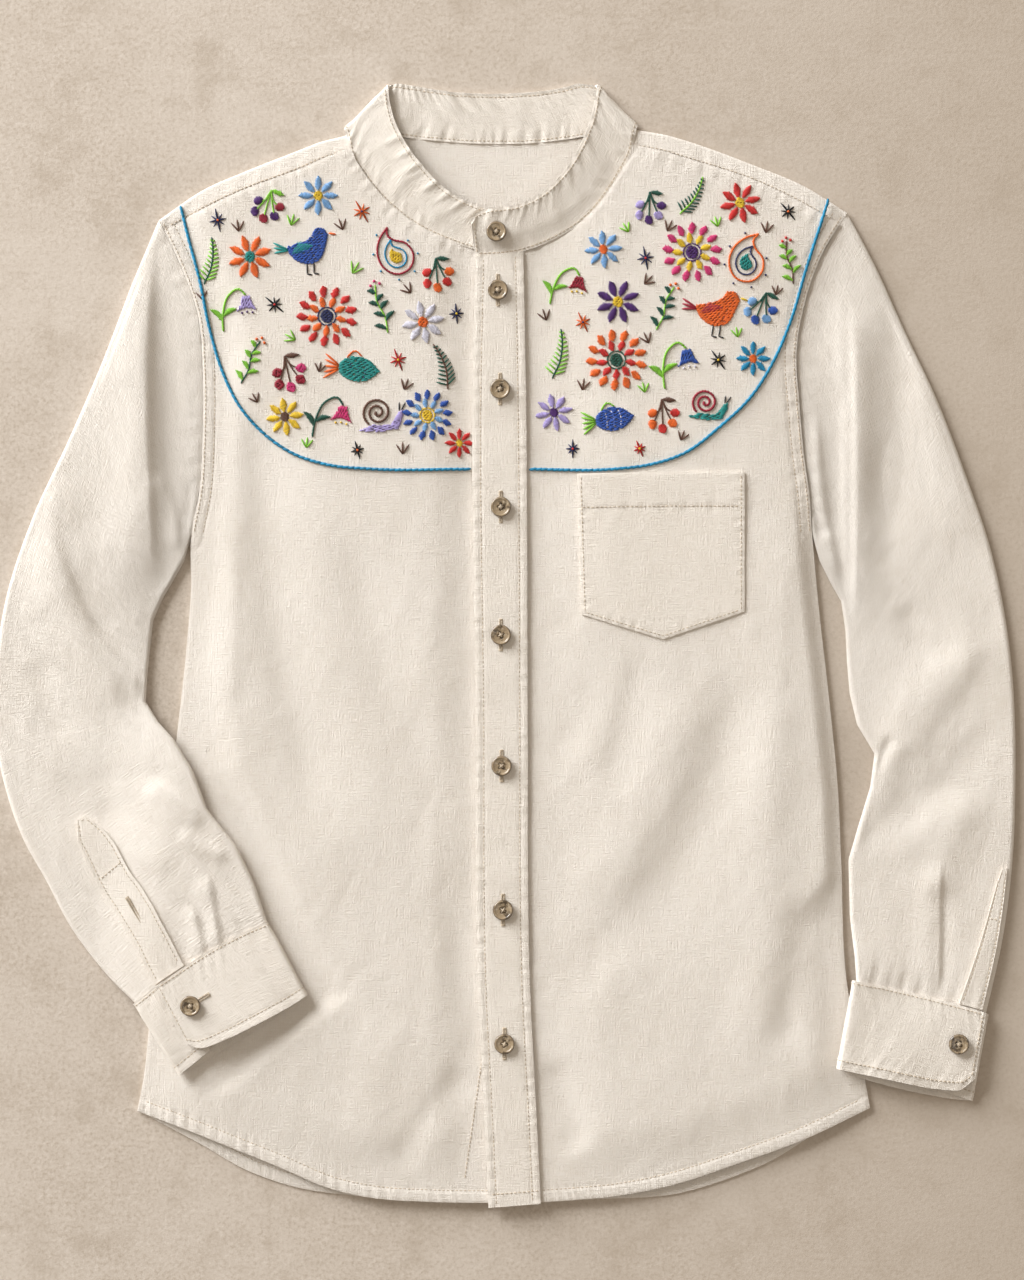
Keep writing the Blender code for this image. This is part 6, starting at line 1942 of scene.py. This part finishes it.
    def paisley(self, motif: Motif) -> None:
        """Curled drop: two outlines, a filled heart and knots round it."""
        drop = np.array([(0.18, 1.0), (-0.28, 0.72), (-0.62, 0.20), (-0.62, -0.38), (-0.20, -0.86),
                         (0.36, -0.82), (0.68, -0.34), (0.56, 0.16), (0.16, 0.46), (0.02, 0.74)])
        self.line(np.concatenate([drop, drop[:1]]), motif.first)
        inner = drop * 0.60 + np.array([0.0, -0.10])
        self.line(np.concatenate([inner, inner[:1]]), motif.second, 0.55)
        self.fill(drop * 0.36 + np.array([0.0, -0.14]), motif.third, 60.0)
        self.knots(drop[1:8] * 1.24, motif.second, 0.6)

    def bird(self, motif: Motif) -> None:
        """Round bird seen from its side: body, wing, tail, beak, legs and an eye."""
        self.fill([(0.86, 0.42), (0.70, 0.66), (0.42, 0.66), (0.22, 0.40), (-0.25, 0.22), (-0.62, 0.12),
                   (-0.42, -0.30), (0.05, -0.52), (0.50, -0.38), (0.72, 0.02)], motif.first, 25.0)
        for tilt in (0.34, 0.16, -0.02):
            self.straight((-0.55, 0.02), (-1.08, tilt), motif.second, 0.8)
        self.petal((0.28, 0.10), (-0.45, -0.12), 0.22, motif.second, bend=-0.12)
        self.straight((0.86, 0.48), (1.12, 0.40), motif.third)
        for foot in (0.02, 0.26):
            self.straight((foot, -0.48), (foot - 0.04, -0.86), Colour.BLACK, 0.5)
            self.straight((foot - 0.04, -0.86), (foot + 0.14, -0.90), Colour.BLACK, 0.5)
        self.knots([(0.66, 0.48)], Colour.BLACK, 0.5)

    def fish(self, motif: Motif) -> None:
        """Fish: a filled body with cross bars, a tail of straight stitches, a fin and an eye."""
        self.fill([(0.95, 0.0), (0.55, 0.34), (0.0, 0.42), (-0.50, 0.12), (-0.50, -0.12), (0.0, -0.42),
                   (0.55, -0.34)], motif.first, 8.0)
        for spread in (-0.42, -0.22, 0.0, 0.22, 0.42):
            self.straight((-0.48, spread * 0.15), (-1.0, spread), motif.second, 0.75)
        for bar in (-0.14, 0.12, 0.38):
            self.line([(bar, 0.33), (bar + 0.07, 0.0), (bar, -0.33)], motif.third, 0.5)
        self.line([(0.26, 0.44), (0.02, 0.64), (-0.26, 0.36)], motif.second, 0.55)
        self.knots([(0.68, 0.10)], Colour.BLACK, 0.5)

    def snail(self, motif: Motif) -> None:
        """Snail: a spiral shell in stem stitch over a filled foot, with two feelers."""
        self.fill([(-0.95, -0.62), (-0.30, -0.40), (0.45, -0.42), (0.80, 0.10), (1.0, 0.16), (1.02, -0.10),
                   (0.80, -0.60), (0.0, -0.70)], motif.third, 5.0, smooth=False)
        turns = np.linspace(0.0, 4.6 * math.pi, 34)
        reach = 0.07 + 0.55 * turns / turns[-1]
        spiral = np.column_stack([np.cos(turns + 2.2) * reach - 0.08, np.sin(turns + 2.2) * reach + 0.12])
        self.line(spiral, motif.first, 0.8)
        self.straight([(0.92, 0.14), (0.84, 0.14)], [(1.12, 0.48), (0.86, 0.50)], motif.second, 0.5)

    def sprout(self, motif: Motif) -> None:
        """Three short stitches fanned from one root."""
        for tip in ((-0.8, 0.7), (0.0, 1.0), (0.8, 0.7)):
            self.straight((0.0, -0.5), tip, motif.first, 0.6)

    def stitches(self, seed: int) -> Stitches:
        """All stitches, laid on the cloth."""
        made = Stitches(seed=seed)
        plans = [np.concatenate([first, (first + last) / 2, last]) for first, last, *_ in self.rows]
        ends = np.cumsum([len(plan) for plan in plans])
        together = np.concatenate(plans)
        placed = with_height(together, self.height(together[:, 0], together[:, 1]))
        for points, (_, _, colour, radius, lift) in zip(np.split(placed, ends[:-1]), self.rows):
            first, middle, last = np.split(points, 3)
            made.add(first, middle + lift * UP, last, radius, colour)
        return made


def embroider(front: Front, finishes: Finishes) -> None:
    """Turquoise border and scattered motifs on one front."""
    right = front.side is Side.RIGHT
    needle = Needle(lambda x, y: front.height(x, y) + 0.05, seed=front.seed + 6)
    needle.line(BORDER_RIGHT if right else BORDER_LEFT, Colour.TURQUOISE, 1.02, 6.4)
    for motif in RIGHT_MOTIFS if right else LEFT_MOTIFS:
        needle.work(motif)
    needle.stitches(front.seed + 7).build(f"embroidery_{front.side.value}", finishes.thread)


def nearest_on(grid: Array, x: float, y: float) -> Array:
    """The grid's highest point among those nearest to a plan point."""
    flat = grid.reshape(-1, 3)
    off = np.hypot(flat[:, 0] - x, flat[:, 1] - y)
    close = np.flatnonzero(off < off.min() + 1.2)
    return flat[close[np.argmax(flat[close, 2])]]


# Buttons

def box_of(node: str) -> tuple:
    """Low and high corner of a solid's box, millimetres."""
    return tuple(np.array(corner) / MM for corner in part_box(node))


@dataclass
class Button:
    """Four-hole horn button: a turned profile with a raised rim and a dish, pierced and sewn on."""

    node: str
    finishes: Finishes
    sides: int = 48
    radius: float = 7.0
    height: float = 3.0
    hole: float = 0.95
    hole_reach: float = 1.75
    hole_depth: float = 1.7
    turn: float = 0.0

    def profile(self) -> Array:
        """Radius and height from the middle of the underside, round the rim, to the middle of the dish."""
        r, h = self.radius, self.height
        under = [(0.01, 0.0), (0.45 * r, 0.0), (0.86 * r, 0.0), (0.95 * r, 0.12 * h),
                 (0.995 * r, 0.35 * h), (r, 0.62 * h), (0.975 * r, 0.84 * h), (0.93 * r, 0.95 * h),
                 (0.88 * r, h), (0.82 * r, 0.985 * h), (0.76 * r, 0.90 * h), (0.71 * r, 0.80 * h)]
        dish = [(share * r, (0.70 + 0.10 * (share / 0.67) ** 4) * h)
                for share in np.linspace(0.67, 0.004, 17)]
        return np.array(under + dish)

    def build(self, stitches: Stitches) -> None:
        """The button on its solid's place, and its thread."""
        low, high = box_of(self.node)
        place = np.array([(low[0] + high[0]) / 2, (low[1] + high[1]) / 2, low[2]])
        profile = self.profile()
        angles = 2 * math.pi * np.arange(self.sides) / self.sides
        x = profile[:, :1] * np.cos(angles)
        y = profile[:, :1] * np.sin(angles)
        z = np.broadcast_to(profile[:, 1:], x.shape).copy()
        turns = self.turn + math.pi / 4 + math.pi / 2 * np.arange(4)
        holes = np.column_stack([np.cos(turns), np.sin(turns)]) * self.hole_reach
        off = np.min([np.hypot(x - hole[0], y - hole[1]) for hole in holes], axis=0)
        on_top = (np.arange(len(profile)) > 11)[:, None]
        z -= np.where(on_top, self.hole_depth * (1 - smooth_step((off - self.hole + 0.25) / 0.4)), 0.0)
        grid = np.stack([x, y, z], axis=-1)
        rings = len(profile)
        ends = [np.arange(self.sides)[None, ::-1], (rings - 1) * self.sides + np.arange(self.sides)[None]]
        cut = np.stack([np.broadcast_to(part, x.shape) for part in (profile[:, :1], profile[:, 1:])], axis=-1)
        made = make_object(f"{self.node}_horn", grid.reshape(-1, 3) + place,
                           [grid_quads(rings, self.sides, True), *ends], cut.reshape(-1, 2),
                           self.finishes.horn, sharp=60.0)
        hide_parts(self.node)
        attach(made, "root")
        top = place + 0.72 * self.height * UP
        corners = np.column_stack([holes, np.zeros(4)]) + top
        for beside in (-0.28, 0.28):
            for first, last in ((0, 2), (1, 3)):
                shift = np.array([beside, beside if first else -beside, 0.0])
                start, end = corners[first] + shift, corners[last] + shift
                middle = (start + end) / 2 + (0.35 + 0.2 * first) * UP
                stitches.add(start[None], middle[None], end[None], 0.36, Colour.SEWING)


def sew(back: Back, yoke: Yoke, fronts: dict, placket: Placket, pocket: Pocket, bands: dict,
        sleeves: dict, finishes: Finishes) -> None:
    """Every row of machine stitching, the buttonholes and the buttons with their thread."""
    sewing = Sewing()
    back_hem = offset(curve(HEM_BACK, 90), HEM_DEPTH)
    sewing.over(trimmed(back_hem, 2, 2), back.height)
    for path in yoke.seam_paths:
        sewing.row(path)
    for side, front in fronts.items():
        sewing.over(trimmed(offset(front.hem_line(), HEM_DEPTH), 2, 3), front.height)
        inward = -1.0 if side is Side.RIGHT else 1.0
        for inset in (FELLED_WIDTH, FELLED_INSET):
            sewing.over(trimmed(offset(front.armhole_line(), inward * inset), 3, 3), front.height)
    sewing.over(np.array(STAND_ROW, float), fronts[Side.RIGHT].height)
    for line, inward in ((PLACKET_LEFT, -1.0), (PLACKET_RIGHT, 1.0)):
        edge = curve(line, 80)
        sewing.over(trimmed(offset(edge, inward * placket.stitch_inset), 1, 2), placket.height)
    end = np.array([PLACKET_LEFT[0], PLACKET_RIGHT[0]], float) + np.array([0.0, 9.0])
    sewing.over(trimmed(end, 1, 1), placket.height)
    for line in pocket.rows():
        sewing.over(line, pocket.height)
    for band in bands.values():
        for path, up in band.rows():
            sewing.row(path, up)
    for sleeve in sleeves.values():
        for path in sleeve.placket_rows():
            sewing.row(path)
    for name, (node, way, shift, length) in BUTTONHOLES.items():
        low, high = box_of(node)
        way = np.array([*way, 0.0]) / math.hypot(*way)
        spot = (low + high) / 2 + way * shift
        if node.startswith("button_front"):
            spot[2] = placket.height(spot[0], spot[1]) + 0.05
        else:
            spot[2] = nearest_on(bands[name].outer, spot[0], spot[1])[2] + 0.15
        sewing.buttonhole(spot, way, UP, length)
    slit = nearest_on(sleeves[Side.RIGHT].patch, *SLIT_PLACE)
    sewing.buttonhole(slit + 0.1 * UP, np.array(SLIT_WAY), UP, SLIT_LENGTH)
    for number, (node, *_) in enumerate(BUTTONHOLES.values()):
        Button(node, finishes, turn=BUTTON_SPIN * number).build(sewing.stitches)
    sewing.stitches.build("sewing_thread", finishes.thread)


# Studio

@dataclass
class Studio:
    """Pale floor, soft light from the upper left, and a camera looking straight down."""

    frame_height: float = 0.8832
    centre: tuple = (0.0052, 0.0035)
    lens: float = 85.0
    sensor: float = 36.0
    floor_reach: float = 4.0
    floor_drop: float = 0.15
    room: tuple = (1.0, 0.865, 0.690, 1.0)
    room_strength: float = 0.38
    lamp: tuple = (0.958, 0.985, 1.0)

    def build(self) -> None:
        """Make the floor, the lights and the camera."""
        corners = np.array([[-1, -1, 0], [1, -1, 0], [1, 1, 0], [-1, 1, 0]]) * self.floor_reach / MM
        floor = make_object("floor", corners - self.floor_drop * UP, [np.array([[0, 1, 2, 3]])], None,
                            FloorFinish().build())
        world = bpy.data.worlds.new("room")
        bpy.context.scene.world = world
        world.use_nodes = True
        background = world.node_tree.nodes["Background"]
        background.inputs["Color"].default_value = self.room
        background.inputs["Strength"].default_value = self.room_strength
        self.light("key", (-5.0, 4.55, 2.35), 4.3, 1145.0)
        self.light("fill", (1.6, -1.0, 2.4), 2.0, 10.0)
        camera = bpy.data.cameras.new("camera")
        camera.sensor_fit = "VERTICAL"
        camera.sensor_height = self.sensor
        camera.sensor_width = self.sensor * IMAGE_WIDTH / IMAGE_HEIGHT
        camera.lens = self.lens
        seen = bpy.data.objects.new("camera", camera)
        seen.location = (*self.centre, self.frame_height * self.lens / self.sensor)
        bpy.context.scene.collection.objects.link(seen)
        bpy.context.scene.camera = seen
        bpy.context.scene.view_settings.view_transform = "Standard"

    def light(self, name: str, place: tuple, size: float, power: float) -> None:
        """Square soft light that faces the middle of the shirt."""
        lamp = bpy.data.lights.new(name, "AREA")
        lamp.size = size
        lamp.energy = power
        lamp.color = self.lamp
        holder = bpy.data.objects.new(name, lamp)
        holder.location = place
        away = np.array(place) / np.linalg.norm(place)
        holder.rotation_euler = (math.acos(away[2]), 0.0, math.atan2(away[0], -away[1]))
        bpy.context.scene.collection.objects.link(holder)


def main() -> None:
    """Dress the shirt, from the surface up, and light it."""
    logging.basicConfig(level=logging.INFO, format="%(name)s %(message)s")
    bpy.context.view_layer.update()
    finishes = Finishes()
    back, yoke = Back(finishes), Yoke(finishes)
    fronts = {side: Front(side, finishes) for side in Side}
    placket, pocket = Placket(finishes), Pocket(finishes)
    sleeves = {side: Sleeve(side, finishes) for side in Side}
    bands = {"collar": collar_band(finishes)}
    bands.update({f"cuff_{side.value}": cuff(side, finishes) for side in Side})
    for piece in (back, yoke, *fronts.values(), placket, pocket, *sleeves.values(), *bands.values()):
        piece.build()
    for sleeve in sleeves.values():
        sleeve.placket()
    sew(back, yoke, fronts, placket, pocket, bands, sleeves, finishes)
    for front in fronts.values():
        embroider(front, finishes)
    Studio().build()


if __name__ == "__main__":
    main()
